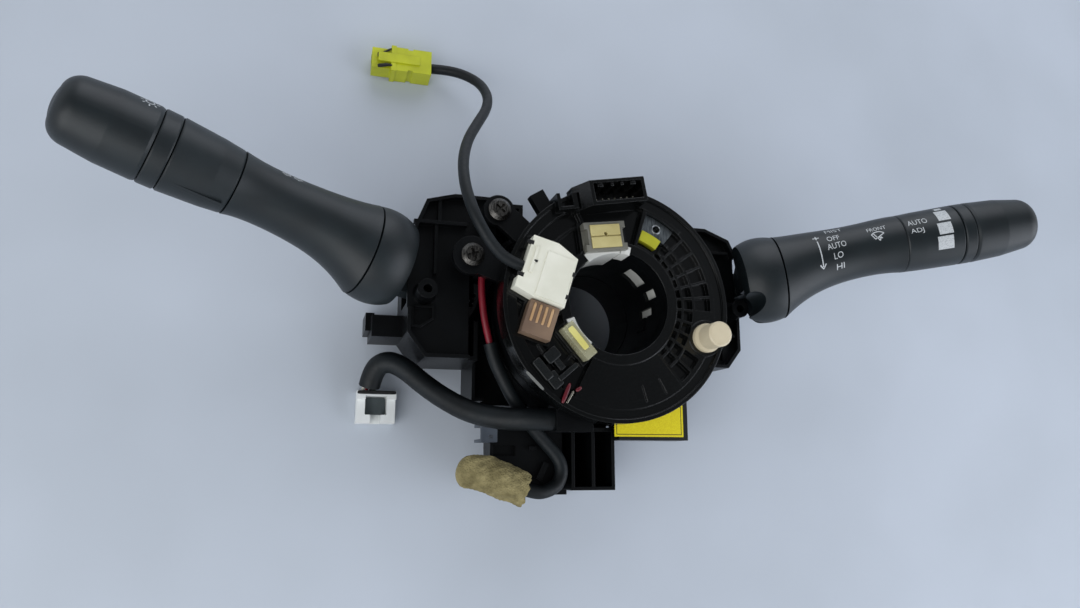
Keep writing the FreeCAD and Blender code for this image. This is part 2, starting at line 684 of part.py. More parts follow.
def sensor_board():
    """Circuit board over the gears with its two magnetic sensors and connector pins."""
    x0, x1, y0, y1 = SENSOR_BOX
    board = box(x0 + 2, x1 - 2, y0 + 2, y1 - 2, Z_BOARD, Z_BOARD + 1.2)
    c = gear_centre(GEAR_B_TEETH, GEAR_B_ANGLE)
    board = fuse([board, cyl(c.x, c.y, Z_BOARD, Z_BOARD + 1.2, 9.0)])
    board = cut(board, [cyl(0, 0, 0, FAR, 27.4)])
    parts = [board]
    for teeth, angle in GEARS:
        c = gear_centre(teeth, angle)
        parts.append(box(c.x - 2.5, c.x + 2.5, c.y - 2, c.y + 2, Z_BOARD + 1.2, Z_BOARD + 2.2))
    parts.append(box(30, 38, -52, -44, Z_BOARD + 1.2, Z_BOARD + 2.0))
    for i in range(4):
        x = 20 + i * 4.0
        parts.append(box(x - 0.4, x + 0.4, -56, -55, Z_BOARD - 3, Z_BOARD + 1.2))
    return fuse(parts)


def sensor_cover():
    plate = sensor_outline(0, SENSOR_TOP - SENSOR_WALL, SENSOR_TOP)
    lip = sensor_outline(-SENSOR_WALL - 0.1, SENSOR_TOP - 3.0, SENSOR_TOP - SENSOR_WALL)
    lip = cut(lip, [sensor_outline(-SENSOR_WALL - 1.3, 0, FAR)])
    tabs = [turned(box(SENSOR_R - 1, SENSOR_R + 0.9, -4, 4, SENSOR_TOP - 7, SENSOR_TOP), a)
            for a in (60, 150, 205)]
    body = cut(fuse([plate, lip] + tabs), [cyl(0, 0, 0, FAR, HUB_OUT + 1.0)])
    slots = [turned(box(SENSOR_R - 2, SENSOR_R + 0.0, -5, 5, SENSOR_TOP - 9, SENSOR_TOP - 1.5), a)
             for a in (60, 150, 205)]
    return cut(body, slots)


def sensor_label():
    x0, x1, y0, y1 = SENSOR_BOX
    return box(9.0, x1 - 2.5, y0 + 1.6, y0 + 17, SENSOR_TOP, SENSOR_TOP + 0.3)


# Spiral cable: fixed case, flat cable and rotor

DUCT = (-25.0, -8.0, -56.0, -44.0, 42.5, 56.0)
HOOK_OUT = 12.7
PAD_OUT = 3.1


def ear(x, y, z, r, t):
    """Screw ear that reaches from the drum wall to a post, rounded at the screw."""
    reach = V(x, y, 0)
    length = reach.Length
    heading = math.degrees(math.atan2(y, x))
    inner = STATOR_R - 1.0
    web = box(inner, length, -r * 0.8, r * 0.8, z, z + t)
    web = turned(web, heading)
    stiff = turned(box(inner, length - r, -1.0, 1.0, z - 8, z), heading)
    eye = cyl(x, y, z, z + t, r)
    return fuse([web, stiff, eye])


def stator_housing():
    """Cup with a floor ring, screw ears, cable outlet and guide pegs."""
    cup = tube(0, 0, Z_STATOR, Z_STATOR_TOP, STATOR_R - STATOR_WALL, STATOR_R)
    floor = tube(0, 0, Z_STATOR, Z_STATOR + STATOR_FLOOR, CORE_OUT + 0.8, STATOR_R - 0.5)
    x0, x1, y0, y1, z0, z1 = DUCT
    duct = box(x0, x1, y0, y1, z0, z1)
    parts = [cup, floor, duct]
    parts.append(ear(EAR_1[0], EAR_1[1], EAR_Z, EAR_R, EAR_T))
    parts.append(ear(EAR_2[0], EAR_2[1], EAR_Z, EAR_R - 1.6, EAR_T))
    parts.append(turned(box(STATOR_R - 1, STATOR_R + HOOK_OUT, -3.6, 3.6, EAR_Z - 2, EAR_Z + 3), 122))
    for angle in (5, -20):
        pad = box(STATOR_R - 1, STATOR_R + PAD_OUT, -6, 6, Z_STATOR, Z_STATOR + 9)
        parts.append(turned(pad, angle))
    parts.append(box(-60.5, -49, 13.5, 19.5, EAR_Z - 9, EAR_Z + 0.5))
    body = fuse(parts)
    hollow = [tube(0, 0, Z_STATOR + STATOR_FLOOR, Z_STATOR_TOP + 9, CORE_OUT + 0.5,
                   STATOR_R - STATOR_WALL)]
    for x, y in SCREW_POSTS:
        hollow.append(cyl(x, y, 0, FAR, SCREW_R + 0.3))
        hollow.append(cyl(x, y, 0, EAR_Z, POST_R + 0.1))
    hollow.append(box(x0 + 2, x1 - 2, y0 + 2, y1 + 6, z0 + 2, z1 - 2))
    return cut(body, hollow)


def ribbon_coil():
    """Flat cable wound round the core: half turns that step outwards."""
    step = 1.6
    thick = 0.45
    r = CORE_OUT + 1.2
    z0 = Z_STATOR + STATOR_FLOOR
    z1 = z0 + 13
    centre_x = 0.0
    outer_edges = []
    inner_edges = []
    for i in range(13):
        side = 1 if i % 2 == 0 else -1
        for edges, radius in ((outer_edges, r + thick), (inner_edges, r)):
            a = V(centre_x + side * radius, 0, z0)
            b = V(centre_x, side * radius, z0)
            c = V(centre_x - side * radius, 0, z0)
            edges.append(Part.Arc(a, b, c).toShape())
        centre_x += side * step / 2
        r += step / 2
    first = Part.makeLine(inner_edges[0].Vertexes[0].Point, outer_edges[0].Vertexes[0].Point)
    last = Part.makeLine(inner_edges[-1].Vertexes[-1].Point, outer_edges[-1].Vertexes[-1].Point)
    wire = Part.Wire(Part.__sortEdges__(outer_edges + inner_edges + [first, last]))
    return Part.Face(wire).extrude(V(0, 0, z1 - z0))


RIB_R = [25.9, 31.0, 36.6, ROTOR_R - 7.4]
PANEL_EDGE = 5.8       # smooth panel and grid end this far inside the rim
RIB_A0 = -50.0
RIB_A1 = 54.0
RIB_CELLS = 11
RIB_WALL = 1.1
PIN_TURN = -18.64
PIN_EDGE = 8.886
PIN_AT = tuple(polar(ROTOR_R - PIN_EDGE, PIN_TURN))[:2]
PIN_R = 5.6
PIN_H = 13.5
PIN_FOOT_R = 6.6

PLUG_TURN = -17.5
PLUG = [(-48.3, -11.8), (-48.3, -7.0), (-47.0, -6.4), (-47.0, 12.4), (-35.5, 12.8), (-25.4, 9.2),
        (-25.0, -13.4), (-39.0, -13.4)]
PLUG_Z = (Z_ROTOR + 0.2, 76.5)
TAN_BLOCK = (-39.4, -26.2, -28.6, -14.0)
TAN_Z = (Z_ROTOR + 0.2, 74.5)
SOCKET_TURN = 8.0
SOCKET = (-13.0, 6.5, 23.2, 36.3)
SOCKET_Z = (61.0, 73.5)
SHROUD_TURN = 10.4
SHROUD = (-7.4, 18.8, 42.6, 54.0)
SHROUD_FOOT = -13.0    # its sloped left wall meets the rotor's face here
SHROUD_Z = (60.0, 79.5)
CLEAR_TURN = -49.5
CLEAR_AT = (-20.3, -18.4)
CLEAR_L = 17.4
CLEAR_W = 5.8
CLEAR_Z = (Z_ROTOR + 0.2, 74.5)
WINDOW = (29.0, 45.3, 51.0, 71.5)
LIP_T = 1.3
# lugs of the white core that show through the rotor's lip: angles and lower end
CORE_LUGS = [(76, 88, 60.0), (88, 129, 48.0), (199, 235, 60.0)]
LUG_DROP = 0.1
LUG_PLAY = 0.6
LIP_R = 27.8


def over_core(shape):
    """Cuts away what would reach into the winding core or its lugs."""
    return cut(shape, [cyl(0, 0, 0, Z_FRONT - LUG_DROP + 0.05, CORE_OUT + 0.15)])


def plug_body(grow, z0, z1):
    outline = PLUG
    shape = prism(outline, z0, z1)
    if grow > 0:
        corners = [V(p[0], p[1], z0) for p in outline]
        wire = Part.makePolygon(corners + corners[:1])
        big = wire.makeOffset2D(grow)
        if Part.Face(big).Area < Part.Face(wire).Area:
            big = wire.makeOffset2D(-grow)
        shape = Part.Face(big).extrude(V(0, 0, z1 - z0))
    return turned(shape, PLUG_TURN)


def clear_block(grow, z0, z1):
    half_l = CLEAR_L / 2 + grow
    half_w = CLEAR_W / 2 + grow
    shape = turned(box(-half_l, half_l, -half_w, half_w, z0, z1), CLEAR_TURN)
    shape.translate(V(CLEAR_AT[0], CLEAR_AT[1], 0))
    return shape


def tan_block(grow, z0, z1):
    x0, x1, y0, y1 = TAN_BLOCK
    return turned(box(x0 - grow, x1 + grow, y0 - grow, y1 + grow, z0, z1), PLUG_TURN)


def socket_block(grow, z0, z1):
    x0, x1, y0, y1 = SOCKET
    return turned(box(x0 - grow, x1 + grow, y0 - grow, y1 + grow, z0, z1), SOCKET_TURN)


def rotor():
    """Front disc: rim and skirt, rib grid, smooth panel, connector pockets and top shroud."""
    floor = tube(0, 0, Z_ROTOR, Z_FLOOR, CORE_OUT + 0.1, ROTOR_R)
    rim = tube(0, 0, Z_SKIRT, Z_FRONT, ROTOR_R - ROTOR_SKIRT, ROTOR_R)
    bevel = Part.makeCone(ROTOR_R + 1, ROTOR_R - 1, 2, V(0, 0, Z_FRONT - 1.0))
    rim = rim.common(fuse([cyl(0, 0, 0, Z_FRONT - 1.0, ROTOR_R + 1), bevel]))
    track = tube(0, 0, Z_FLOOR, Z_FRONT - 1.2, ROTOR_R - PANEL_EDGE - 0.6, ROTOR_R - 1)
    lip = tube(0, 0, Z_FRONT - LIP_T, Z_FRONT, HOLE_R, LIP_R)
    collar = tube(0, 0, Z_ROTOR, Z_FRONT - 0.2, CORE_OUT + 0.1, LIP_R)
    grid = sector(LIP_R - 0.5, ROTOR_R - PANEL_EDGE, RIB_A0 - 1.6, RIB_A1 + 1.6, Z_FLOOR - 0.5, Z_FRONT - 0.8)
    panel = sector(LIP_R - 0.5, ROTOR_R - PANEL_EDGE, -117, RIB_A0 - 1.0, Z_FLOOR - 0.5, Z_FRONT - 0.5)
    window = sector(WINDOW[0] - 1.4, WINDOW[1] + 1.4, WINDOW[2] - 2.4, WINDOW[3] + 2.4,
                    Z_FLOOR - 0.5, Z_FRONT - 0.5)
    x0, x1, y0, y1 = SHROUD
    shroud = turned(box(x0, x1, y0, y1, Z_ROTOR, SHROUD_Z[1]), SHROUD_TURN)
    xf = SHROUD_FOOT
    slope = [V(xf, y0, Z_ROTOR), V(x0 + 1, y0, Z_ROTOR), V(x0 + 1, y0, SHROUD_Z[1]), V(x0, y0, SHROUD_Z[1]),
             V(xf, y0, Z_FRONT + 1)]
    slope = Part.Face(Part.makePolygon(slope + slope[:1])).extrude(V(0, y1 - y0, 0))
    shroud = fuse([shroud, turned(slope, SHROUD_TURN)])
    web = turned(box(xf - 8.5, xf + 1, y0 + 1.0, y0 + 8.5, Z_ROTOR, Z_FRONT + 4), SHROUD_TURN)
    web = cut(web, [turned(box(xf - 7, xf - 1.4, y0 + 2.4, y0 + 20, Z_FLOOR, FAR), SHROUD_TURN)])
    frames = [plug_body(1.6, Z_ROTOR, Z_FRONT - 0.6), tan_block(1.4, Z_ROTOR, Z_FRONT - 1.4)]
    frames.append(clear_block(1.4, Z_ROTOR, Z_FRONT - 1.2))
    frames.append(socket_block(1.4, Z_ROTOR, Z_FRONT - 1.0))
    frames.append(sector(28.5, 48, 226, 228, Z_FLOOR - 0.5, Z_FRONT - 1.0))
    frames.append(sector(40.5, 42, 205, 226, Z_FLOOR - 0.5, Z_FRONT - 2.0))
    frames.append(sector(30, 48, 114, 116, Z_FLOOR - 0.5, Z_FRONT - 1.4))
    frames.append(sector(38, 39.4, 116, 140, Z_FLOOR - 0.5, Z_FRONT - 2.4))
    foot = cyl(PIN_AT[0], PIN_AT[1], Z_FLOOR - 0.5, Z_FRONT - 0.4, PIN_FOOT_R + 1.6)
    inside = cyl(0, 0, 0, FAR, ROTOR_R - 0.5)
    frames = [f.common(inside) for f in frames]
    body = fuse([floor, rim, track, lip, collar, grid, panel, window, shroud, web, foot] + frames)
    holes = []
    pitch = (RIB_A1 - RIB_A0) / RIB_CELLS
    for ring in range(len(RIB_R) - 1):
        r0 = max(RIB_R[ring], LIP_R) + RIB_WALL / 2
        r1 = RIB_R[ring + 1] - RIB_WALL / 2
        gap = math.degrees(RIB_WALL / 2 / ((r0 + r1) / 2))
        for k in range(RIB_CELLS):
            a0 = RIB_A0 + k * pitch + gap
            a1 = RIB_A0 + (k + 1) * pitch - gap
            middle = polar((r0 + r1) / 2, (a0 + a1) / 2)
            if (middle - V(PIN_AT[0], PIN_AT[1], 0)).Length > PIN_FOOT_R + 3.6:
                holes.append(sector(r0, r1, a0, a1, Z_FLOOR + 0.4, FAR))
    holes.append(sector(WINDOW[0], WINDOW[1], WINDOW[2], WINDOW[3], Z_FLOOR - 1.0, FAR))
    holes.append(plug_body(0.1, Z_ROTOR - 1, FAR))
    holes.append(tan_block(0.1, Z_ROTOR - 1, FAR))
    holes.append(clear_block(0.1, Z_ROTOR - 1, FAR))
    holes.append(socket_block(0.1, Z_ROTOR - 1, FAR))
    cavity = turned(box(x0 + 1.6, x1 - 1.6, y0 + 1.8, y1 - 1.4, Z_FLOOR + 2, FAR), SHROUD_TURN)
    holes.append(cavity)
    holes.append(cyl(PIN_AT[0], PIN_AT[1], Z_FLOOR - 1, FAR, PIN_FOOT_R))
    holes.append(cyl(0, 0, 0, Z_FRONT - LIP_T, CORE_OUT + 0.1))
    holes.append(cyl(0, 0, 0, FAR, HOLE_R))
    for a0, a1, low in CORE_LUGS:
        holes.append(sector(HOLE_R - 1, LIP_R - 1.2, a0, a1, Z_ROTOR - 1, FAR))
    for a in (-75, -62):
        holes.append(sector(38, 45, a, a + 1.0, Z_FRONT - 1.0, FAR))
    return cut(body, holes)


def drive_pin():
    """Ivory pin that engages the steering wheel, on a wider hollow foot."""
    x, y = PIN_AT
    z = Z_FLOOR - 1
    foot = cyl(x, y, z, Z_FRONT + 1.5, PIN_FOOT_R)
    cone = Part.makeCone(PIN_FOOT_R, PIN_R, 2.0, V(x, y, Z_FRONT + 1.5))
    shaft = cyl(x, y, Z_FRONT, Z_FRONT + PIN_H - 0.8, PIN_R)
    tip = Part.makeCone(PIN_R, PIN_R - 0.8, 0.8, V(x, y, Z_FRONT + PIN_H - 0.8))
    return fuse([foot, cone, shaft, tip])


# angles and heights of the windows that the white core shows through
HUB_WINDOWS = [(35, 59.5, 44, 56), (14.5, 25, 49.5, 60.8), (-3.5, 6, 39.5, 53.7), (-20, -3, 45.8, 48.8),
               (-21.5, -19, 39.5, 49.4), (150, 176, 50, 60)]
HUB_FLARE = 0.9
HUB_FLARE_H = 5.2


def hub_sleeve():
    """Black sleeve that carries the core, the ring gear and the cancel lugs."""
    sleeve = tube(0, 0, BASE_H + 0.5, Z_FRONT - LIP_T, HUB_R, HUB_OUT)
    tools = [sector(HUB_R - 1, HUB_OUT + 1, a0, a1, z0, z1) for a0, a1, z0, z1 in HUB_WINDOWS]
    tools += [sector(HUB_R - 1, HUB_OUT + 1, a0, a1, low, FAR) for a0, a1, low in CORE_LUGS]
    flare = V(0, 0, Z_FRONT - LIP_T - HUB_FLARE_H)
    tools.append(Part.makeCone(HUB_R, HUB_R + HUB_FLARE, HUB_FLARE_H, flare))
    return cut(sleeve, tools)


def core_ring():
    """White winding core; it shows through the hub sleeve's windows and between its lugs' slots."""
    low = Z_STATOR + 0.6
    ring = tube(0, 0, low, Z_FRONT - LIP_T, CORE_IN - 0.1, CORE_OUT)
    notch = [sector(CORE_IN - 1, CORE_OUT + 1, a, a + 10, Z_FRONT - 6, FAR) for a in (140, 260, 330)]
    lugs = [sector(HUB_R, CORE_OUT, a0 + LUG_PLAY, a1 - LUG_PLAY, low + 0.1, Z_FRONT - LUG_DROP)
            for a0, a1, low in CORE_LUGS]
    return fuse([cut(ring, notch)] + lugs)


def squib_plug():
    """White airbag plug: stepped body, corner notches and a latch rib."""
    z0, z1 = PLUG_Z
    body = plug_body(0, z0, z1)
    tools = []
    for x, y in ((-47.6, 9.0), (-47.6, -6.0), (-25.6, 2.0), (-25.6, -8.5)):
        tools.append(turned(box(x - 1.6, x + 1.6, y - 1.0, y + 1.0, z1 - 4, z1 + 1), PLUG_TURN))
    tools.append(turned(box(-49, -46.2, -6, 10, z0 - 1, z1 - 8.5), PLUG_TURN))
    rib = turned(box(-44.5, -43.3, -4, 8, z1 - 0.5, z1 + 0.7), PLUG_TURN)
    step = turned(box(-39, -26, -12.5, 8, z1 - 0.5, z1 + 0.4), PLUG_TURN)
    return over_core(fuse([cut(body, tools), rib, step]))


def tan_connector():
    z0, z1 = TAN_Z
    x0, x1, y0, y1 = TAN_BLOCK
    tools = []
    for i in range(4):
        x = x0 + 2.4 + i * 2.7
        tools.append(turned(box(x - 0.7, x + 0.7, y0 + 5.5, y1 - 1, z1 - 1.4, z1 + 1), PLUG_TURN))
    return cut(tan_block(0, z0, z1), tools)


def clear_connector():
    z0, z1 = CLEAR_Z
    strip = turned(box(-CLEAR_L / 2 + 1.5, CLEAR_L / 2 - 4, -1.2, 1.2, z1 - 0.4, z1 + 0.5), CLEAR_TURN)
    strip.translate(V(CLEAR_AT[0], CLEAR_AT[1], 0))
    return over_core(fuse([clear_block(0, z0, z1), strip]))


def upper_socket():
    z0, z1 = SOCKET_Z
    x0, x1, y0, y1 = SOCKET
    inner = turned(box(x0 + 2.6, x1 - 2.6, y0 + 1.2, y1 - 1.2, z0 + 1.2, FAR), SOCKET_TURN)
    notch = turned(box(x0 - 1, x0 + 1.4, y0 + 3, y1 - 3, z1 - 4, FAR), SOCKET_TURN)
    notch_2 = turned(box(x1 - 1.4, x1 + 1, y0 + 3, y1 - 3, z1 - 4, FAR), SOCKET_TURN)
    return over_core(cut(socket_block(0, z0, z1), [inner, notch, notch_2]))


def socket_insert():
    z0, z1 = SOCKET_Z
    x0, x1, y0, y1 = SOCKET
    body = turned(box(x0 + 2.7, x1 - 2.7, y0 + 1.3, y1 - 1.3, z0 + 1.2, z1 + 0.4), SOCKET_TURN)
    slot = turned(box(x0 + 2, x1 - 2, y0 + 6.2, y0 + 6.8, z1 - 0.4, FAR), SOCKET_TURN)
    eye = turned(cyl((x0 + x1) / 2, (y0 + y1) / 2 + 1, z1 - 2, FAR, 0.8), SOCKET_TURN)
    return over_core(cut(body, [slot, eye]))


def window_plate():
    r0, r1, a0, a1 = WINDOW
    mid = (r0 + r1) / 2
    plate = sector(mid, r1 - 0.2, a0 + 0.4, a1 - 0.4, Z_FLOOR - 1.0, Z_FLOOR + 1.4)
    c = polar(41.0, (a0 + a1) / 2)
    return cut(plate, [cyl(c.x, c.y, 0, FAR, 1.7)])


def window_block():
    r0, r1, a0, a1 = WINDOW
    mid = (r0 + r1) / 2
    return sector(r0 + 3.0, mid - 0.2, a0 + 3.5, a1 - 1.0, Z_FLOOR - 1.0, Z_FLOOR + 2.4)


# Fasteners

def screw(x, y, z, turn):
    """Pan head screw with a cross recess."""
    edge = SCREW_HEAD_H * 0.5
    head = cyl(x, y, z, z + edge, SCREW_HEAD_R)
    crown = Part.makeCone(SCREW_HEAD_R, SCREW_HEAD_R - 1.6, SCREW_HEAD_H - edge, V(x, y, z + edge))
    shank = cyl(x, y, z - EAR_T - 9, z + 0.5, SCREW_R - SCREW_FIT)
    whole = fuse([head, crown, shank])
    arms = []
    for k in (0, 90):
        arm = box(-2.6, 2.6, -0.55, 0.55, z + SCREW_HEAD_H - 1.7, FAR)
        arm = turned(arm, turn + k)
        arm.translate(V(x, y, 0))
        arms.append(arm)
    return cut(whole, arms)


def case_screws():
    z = EAR_Z + EAR_T
    return Part.makeCompound([screw(EAR_1[0], EAR_1[1], z, 20), screw(EAR_2[0], EAR_2[1], z, 50)])


# Connector bracket below the drum

BRACKET = (-45.5, 10.5, -82.0, -47.0)
BRACKET_H = 30.0
CHANNEL_H = 34.0
CABLE_GAP = (-14.2, -11.0)
CHANNEL_COUNT = 2
LEDGE_T = 3.0
SLOT_DEPTH = 1.8


def connector_bracket():
    """Block with a cable panel on the left and deep connector channels on the right."""
    x0, x1, y0, y1 = BRACKET
    z_ring = BASE_H - 0.5
    base = box(x0, x1, y0, y1, 0, 4)
    panel = box(x0, CABLE_GAP[0], y0, -52.0, 0, BRACKET_H)
    neck = box(x0, x1, -53, y1, 0, z_ring)
    under = box(x0 + 2, CABLE_GAP[0] - 2, y0 - 1, -55, 4, BRACKET_H - 2.5)
    channels = box(CABLE_GAP[1], x1, y0, -53.2, 0, CHANNEL_H)
    tools = []
    pitch = (x1 - CABLE_GAP[1] - 1.6) / CHANNEL_COUNT
    for i in range(CHANNEL_COUNT):
        left = CABLE_GAP[1] + 1.6 + i * pitch
        tools.append(box(left, left + pitch - 1.6, y0 + 1.6, -55.0, 6 + i * 6, FAR))
    channels = cut(channels, tools)
    foot = box(-20, -4, y0 - 3.0, y0 + 1, 0, 5)
    ledge = box(x0 - 3.4, x0 + 10, -67.2, -60.4, BRACKET_H - LEDGE_T, BRACKET_H)
    strap = turned(box(-4.2, 4.2, -1.4, 1.4, BRACKET_H, BRACKET_H + 2.2), 64)
    strap.translate(V(-24.4, -73.2, 0))
    guide = box(-31, -27.5, -63.5, -62, BRACKET_H, BRACKET_H + 2.5)
    bridge = box(CABLE_GAP[0] - 1, CABLE_GAP[1] + 1, -66, -53.2, 0, 18)
    parts = [base, cut(panel, [under]), neck, channels, foot, ledge, strap, guide, bridge]
    slot = box(x0 - 2.2, x0 + 8.6, -66.2, -61.6, BRACKET_H - SLOT_DEPTH, FAR)
    return cut(fuse(parts), [slot, cyl(0, 0, -1, FAR, RING_R)])


def bracket_clip():
    """Light grey latch on the bracket's left corner."""
    x1 = BRACKET[0]
    clip = box(x1 - 7.6, x1, -60.2, -51.8, 14, BRACKET_H)
    slot = box(x1 - 8.6, x1 - 2.4, -58.8, -53.2, 13, BRACKET_H - 2)
    window = box(x1 - 4.0, x1 - 2.2, -58.4, -57.0, 0, FAR)
    return cut(clip, [slot, window])


# Leads. Each route is a list of points chosen by hand; arcs join the straight runs.

SQUIB_ROUTE = [(-45.31, 12.61, 73.0), (-52.2, 14.78, 73.0), (-59.0, 20.2, 75.2), (-65.2, 28.4, 77.2),
               (-69.3, 38.4, 76.0), (-71.0, 49.8, 71.0), (-70.0, 62.8, 62.5), (-66.2, 76.2, 52.5),
               (-59.6, 89.6, 42.5), (-53.4, 101.6, 33.0), (-50.8, 113.0, 24.3), (-53.6, 123.6, 16.6),
               (-61.8, 130.4, 11.0), (-70.6, 133.0, 7.8), (-78.5, 133.0, 6.8)]
HARNESS_ROUTE = [(-25.0, -50.5, 49.4), (-34.5, -50.5, 49.4), (-46.0, -48.6, 43.8), (-58.5, -44.0, 35.6),
                 (-70.0, -37.4, 28.4), (-80.8, -31.4, 23.4), (-89.4, -25.6, 20.4), (-97.0, -23.8, 17.8),
                 (-102.0, -27.8, 14.8), (-102.8, -34.2, 11.2)]
EARTH_ROUTE = [(-57.0, 13.5, 44.2), (-57.0, 8.0, 44.2), (-56.2, -1.5, 44.4), (-54.4, -10.5, 44.0),
               (-52.6, -16.5, 43.4)]
HORN_ROUTE = [(-52.6, -16.5, 43.4), (-50.45, -23.66, 42.68), (-46.0, -32.2, 41.6), (-40.8, -40.8, 39.8),
              (-35.2, -47.8, 37.2), (-29.8, -54.0, 34.9), (-24.6, -59.4, 33.8), (-19.6, -64.4, 33.5),
              (-16.2, -69.2, 33.5), (-15.6, -74.6, 33.7), (-18.0, -79.4, 34.4), (-22.8, -82.0, 35.4),
              (-28.3, -82.94, 36.5), (-33.8, -81.2, 36.5)]


def cord(route, diameter, name):
    """Round cord of straight runs and tangent arcs, each arc as large as its two runs allow."""
    points = [V(*p) for p in route]
    pieces = []
    radii = []
    length = 0.0
    cursor = points[0]
    for i in range(1, len(points) - 1):
        before = points[i - 1] - points[i]
        after = points[i + 1] - points[i]
        turn = math.pi - before.getAngle(after)
        reach = 0.45 * min(before.Length, after.Length)
        radius = reach / math.tan(turn / 2)
        radii.append(radius)
        a = points[i] + before.normalize() * reach
        c = points[i] + after.normalize() * reach
        centre = points[i] + (before + after).normalize() * (radius / math.cos(turn / 2))
        pieces.append(Part.makeCylinder(diameter / 2, (a - cursor).Length, cursor, a - cursor))
        disc = Part.Face(Part.Wire([Part.Circle(a, before, diameter / 2).toShape()]))
        axis = before.cross(after)
        pieces.append(disc.revolve(centre, axis * -1, math.degrees(turn)))
        length += (a - cursor).Length + radius * turn
        cursor = c
    last = points[-1] - cursor
    pieces.append(Part.makeCylinder(diameter / 2, last.Length, cursor, last))
    length += last.Length
    solid = fuse(pieces)
    ideal = math.pi * diameter ** 2 / 4 * length
    print("%-14s length %.1f, smallest radius %.1f, volume/ideal %.4f"
          % (name, length, min(radii), abs(solid.Volume) / ideal))
    return solid


PLUG_ENTRY = -36.4
WIRE_R = 0.8
WIRE_OFFSETS = ((-2.6, -1.0), (-0.9, 1.0), (0.9, -1.0), (2.6, 1.0))


def squib_connector():
    """Yellow airbag connector lying on the table, with a stepped nose and locking arm."""
    x1 = SQUIB_ROUTE[-1][0]
    y = SQUIB_ROUTE[-1][1]
    body = box(x1 - 19, x1, y - 6.4, y + 6.4, 0.4, 12.6)
    nose = box(x1 - 30, x1 - 19, y - 5.4, y + 5.4, 1.4, 11.4)
    nose = cut(nose, [box(x1 - 31, x1 - 21, y - 4, y + 4, 2.8, 10.0)])
    flange = box(x1 - 20.5, x1 - 18, y - 6.9, y + 6.9, 0.4, 13.0)
    arm = box(x1 - 27, x1 - 6, y - 2.4, y + 2.4, 12.0, 13.4)
    groove = [box(x1 - 12, x1 - 9.5, y - 8, y - 5.6, 0, 14), box(x1 - 12, x1 - 9.5, y + 5.6, y + 8, 0, 14)]
    return cut(fuse([body, nose, flange, arm]), groove)


def harness_plug():
    """White connector with an open window frame and two legs."""
    x = HARNESS_ROUTE[-1][0] + 3.5
    y = PLUG_ENTRY
    head = box(x - 9, x + 9, y - 4, y, 0.4, 13)
    body = box(x - 9, x + 9, y - 15, y, 0.4, 9.5)
    window = [box(x - 5, x + 5, y - 11, y - 2.4, 3.0, FAR), box(x - 2.4, x + 2.4, y - 16, y - 10, 2, FAR)]
    return cut(fuse([head, body]), window)


def harness_wires():
    """Four short coloured wires between the sleeve's end and the white connector."""
    end = V(*HARNESS_ROUTE[-1])
    heading = (end - V(*HARNESS_ROUTE[-2])).normalize()
    across = heading.cross(V(0, 0, 1)).normalize()
    over = across.cross(heading)
    plug = box(end.x - 20, end.x + 20, PLUG_ENTRY - 20, PLUG_ENTRY, -5, 40)
    wires = []
    for side, up in WIRE_OFFSETS:
        start = end + across * side + over * up
        wires.append(Part.makeCylinder(WIRE_R, 12, start, heading).cut(plug))
    return Part.makeCompound(wires)


def foam_wrap():
    """Foam sleeve wrapped round the end of the horn lead."""
    end = V(*HORN_ROUTE[-1])
    away = V(-0.953, 0.302, 0).normalize()
    return Part.makeCylinder(FOAM_D / 2, FOAM_L, end, away)


def build():
    save("base_housing", base_housing())
    save("left_case_cover", case_cover(LEFT_CASE, LEFT_COVER_EDGE, True))
    save("right_case_cover", case_cover(RIGHT_CASE, RIGHT_COVER_EDGE, False))
    keep_l = swept_case(LEFT, LEFT_ROOM[0], LEFT_ROOM[1])
    keep_r = fuse([swept_case(RIGHT, RIGHT_ROOM[0], RIGHT_ROOM[1]), boss_notch()])
    for side, lever, keep, taper, ridge in (("left", LEFT, keep_l, 0.88, RIDGE_TURN),
                                            ("right", RIGHT, keep_r, 0.84, None)):
        save(side + "_lever_arm", lever_arm(lever, keep))
        save(side + "_carrier", lever_carrier(lever))
        save(side + "_detent_plunger", detent_plunger(lever))
        save(side + "_detent_spring", detent_spring(lever))
        save(side + "_detent_track", detent_track(lever))
        save(side + "_contact_board", contact_board(lever))
        save(side + "_lever_shell", lever_shell(lever))
        save(side + "_ring", lever_ring(lever, ridge))
        save(side + "_index_band", index_band(lever))
        save(side + "_knob", lever_knob(lever, taper))
    save("sensor_housing", sensor_housing())
    save("sensor_board", sensor_board())
    save("sensor_cover", sensor_cover())
    save("sensor_label", sensor_label())
    save("hub_gear", hub_gear())
    save("measuring_gear_a", measuring_gear(GEAR_A_TEETH, GEAR_A_ANGLE))
    save("measuring_gear_b", measuring_gear(GEAR_B_TEETH, GEAR_B_ANGLE))
    save("magnet_a", magnet(GEAR_A_TEETH, GEAR_A_ANGLE))
    save("magnet_b", magnet(GEAR_B_TEETH, GEAR_B_ANGLE))
    save("stator_housing", stator_housing())
    save("ribbon_coil", ribbon_coil())
    save("rotor", rotor())
    save("hub_sleeve", hub_sleeve())
    save("core_ring", core_ring())
    save("drive_pin", drive_pin())
    save("squib_plug", squib_plug())
    save("tan_connector", tan_connector())
    save("clear_connector", clear_connector())
    save("upper_socket", upper_socket())
    save("socket_insert", socket_insert())
    save("window_plate", window_plate())
    save("window_block", window_block())
    save("case_screws", case_screws())
    save("connector_bracket", connector_bracket())
    save("bracket_clip", bracket_clip())
    save("squib_lead", cord(SQUIB_ROUTE, SQUIB_D, "squib_lead"))
    save("squib_connector", squib_connector())
    save("harness_sleeve", cord(HARNESS_ROUTE, HARNESS_D, "harness"))
    save("harness_plug", harness_plug())
    save("harness_wires", harness_wires())
    save("earth_wire", cord(EARTH_ROUTE, EARTH_D, "earth_wire"))
    save("horn_lead", cord(HORN_ROUTE, HORN_D, "horn lead"))
    save("foam_wrap", foam_wrap())


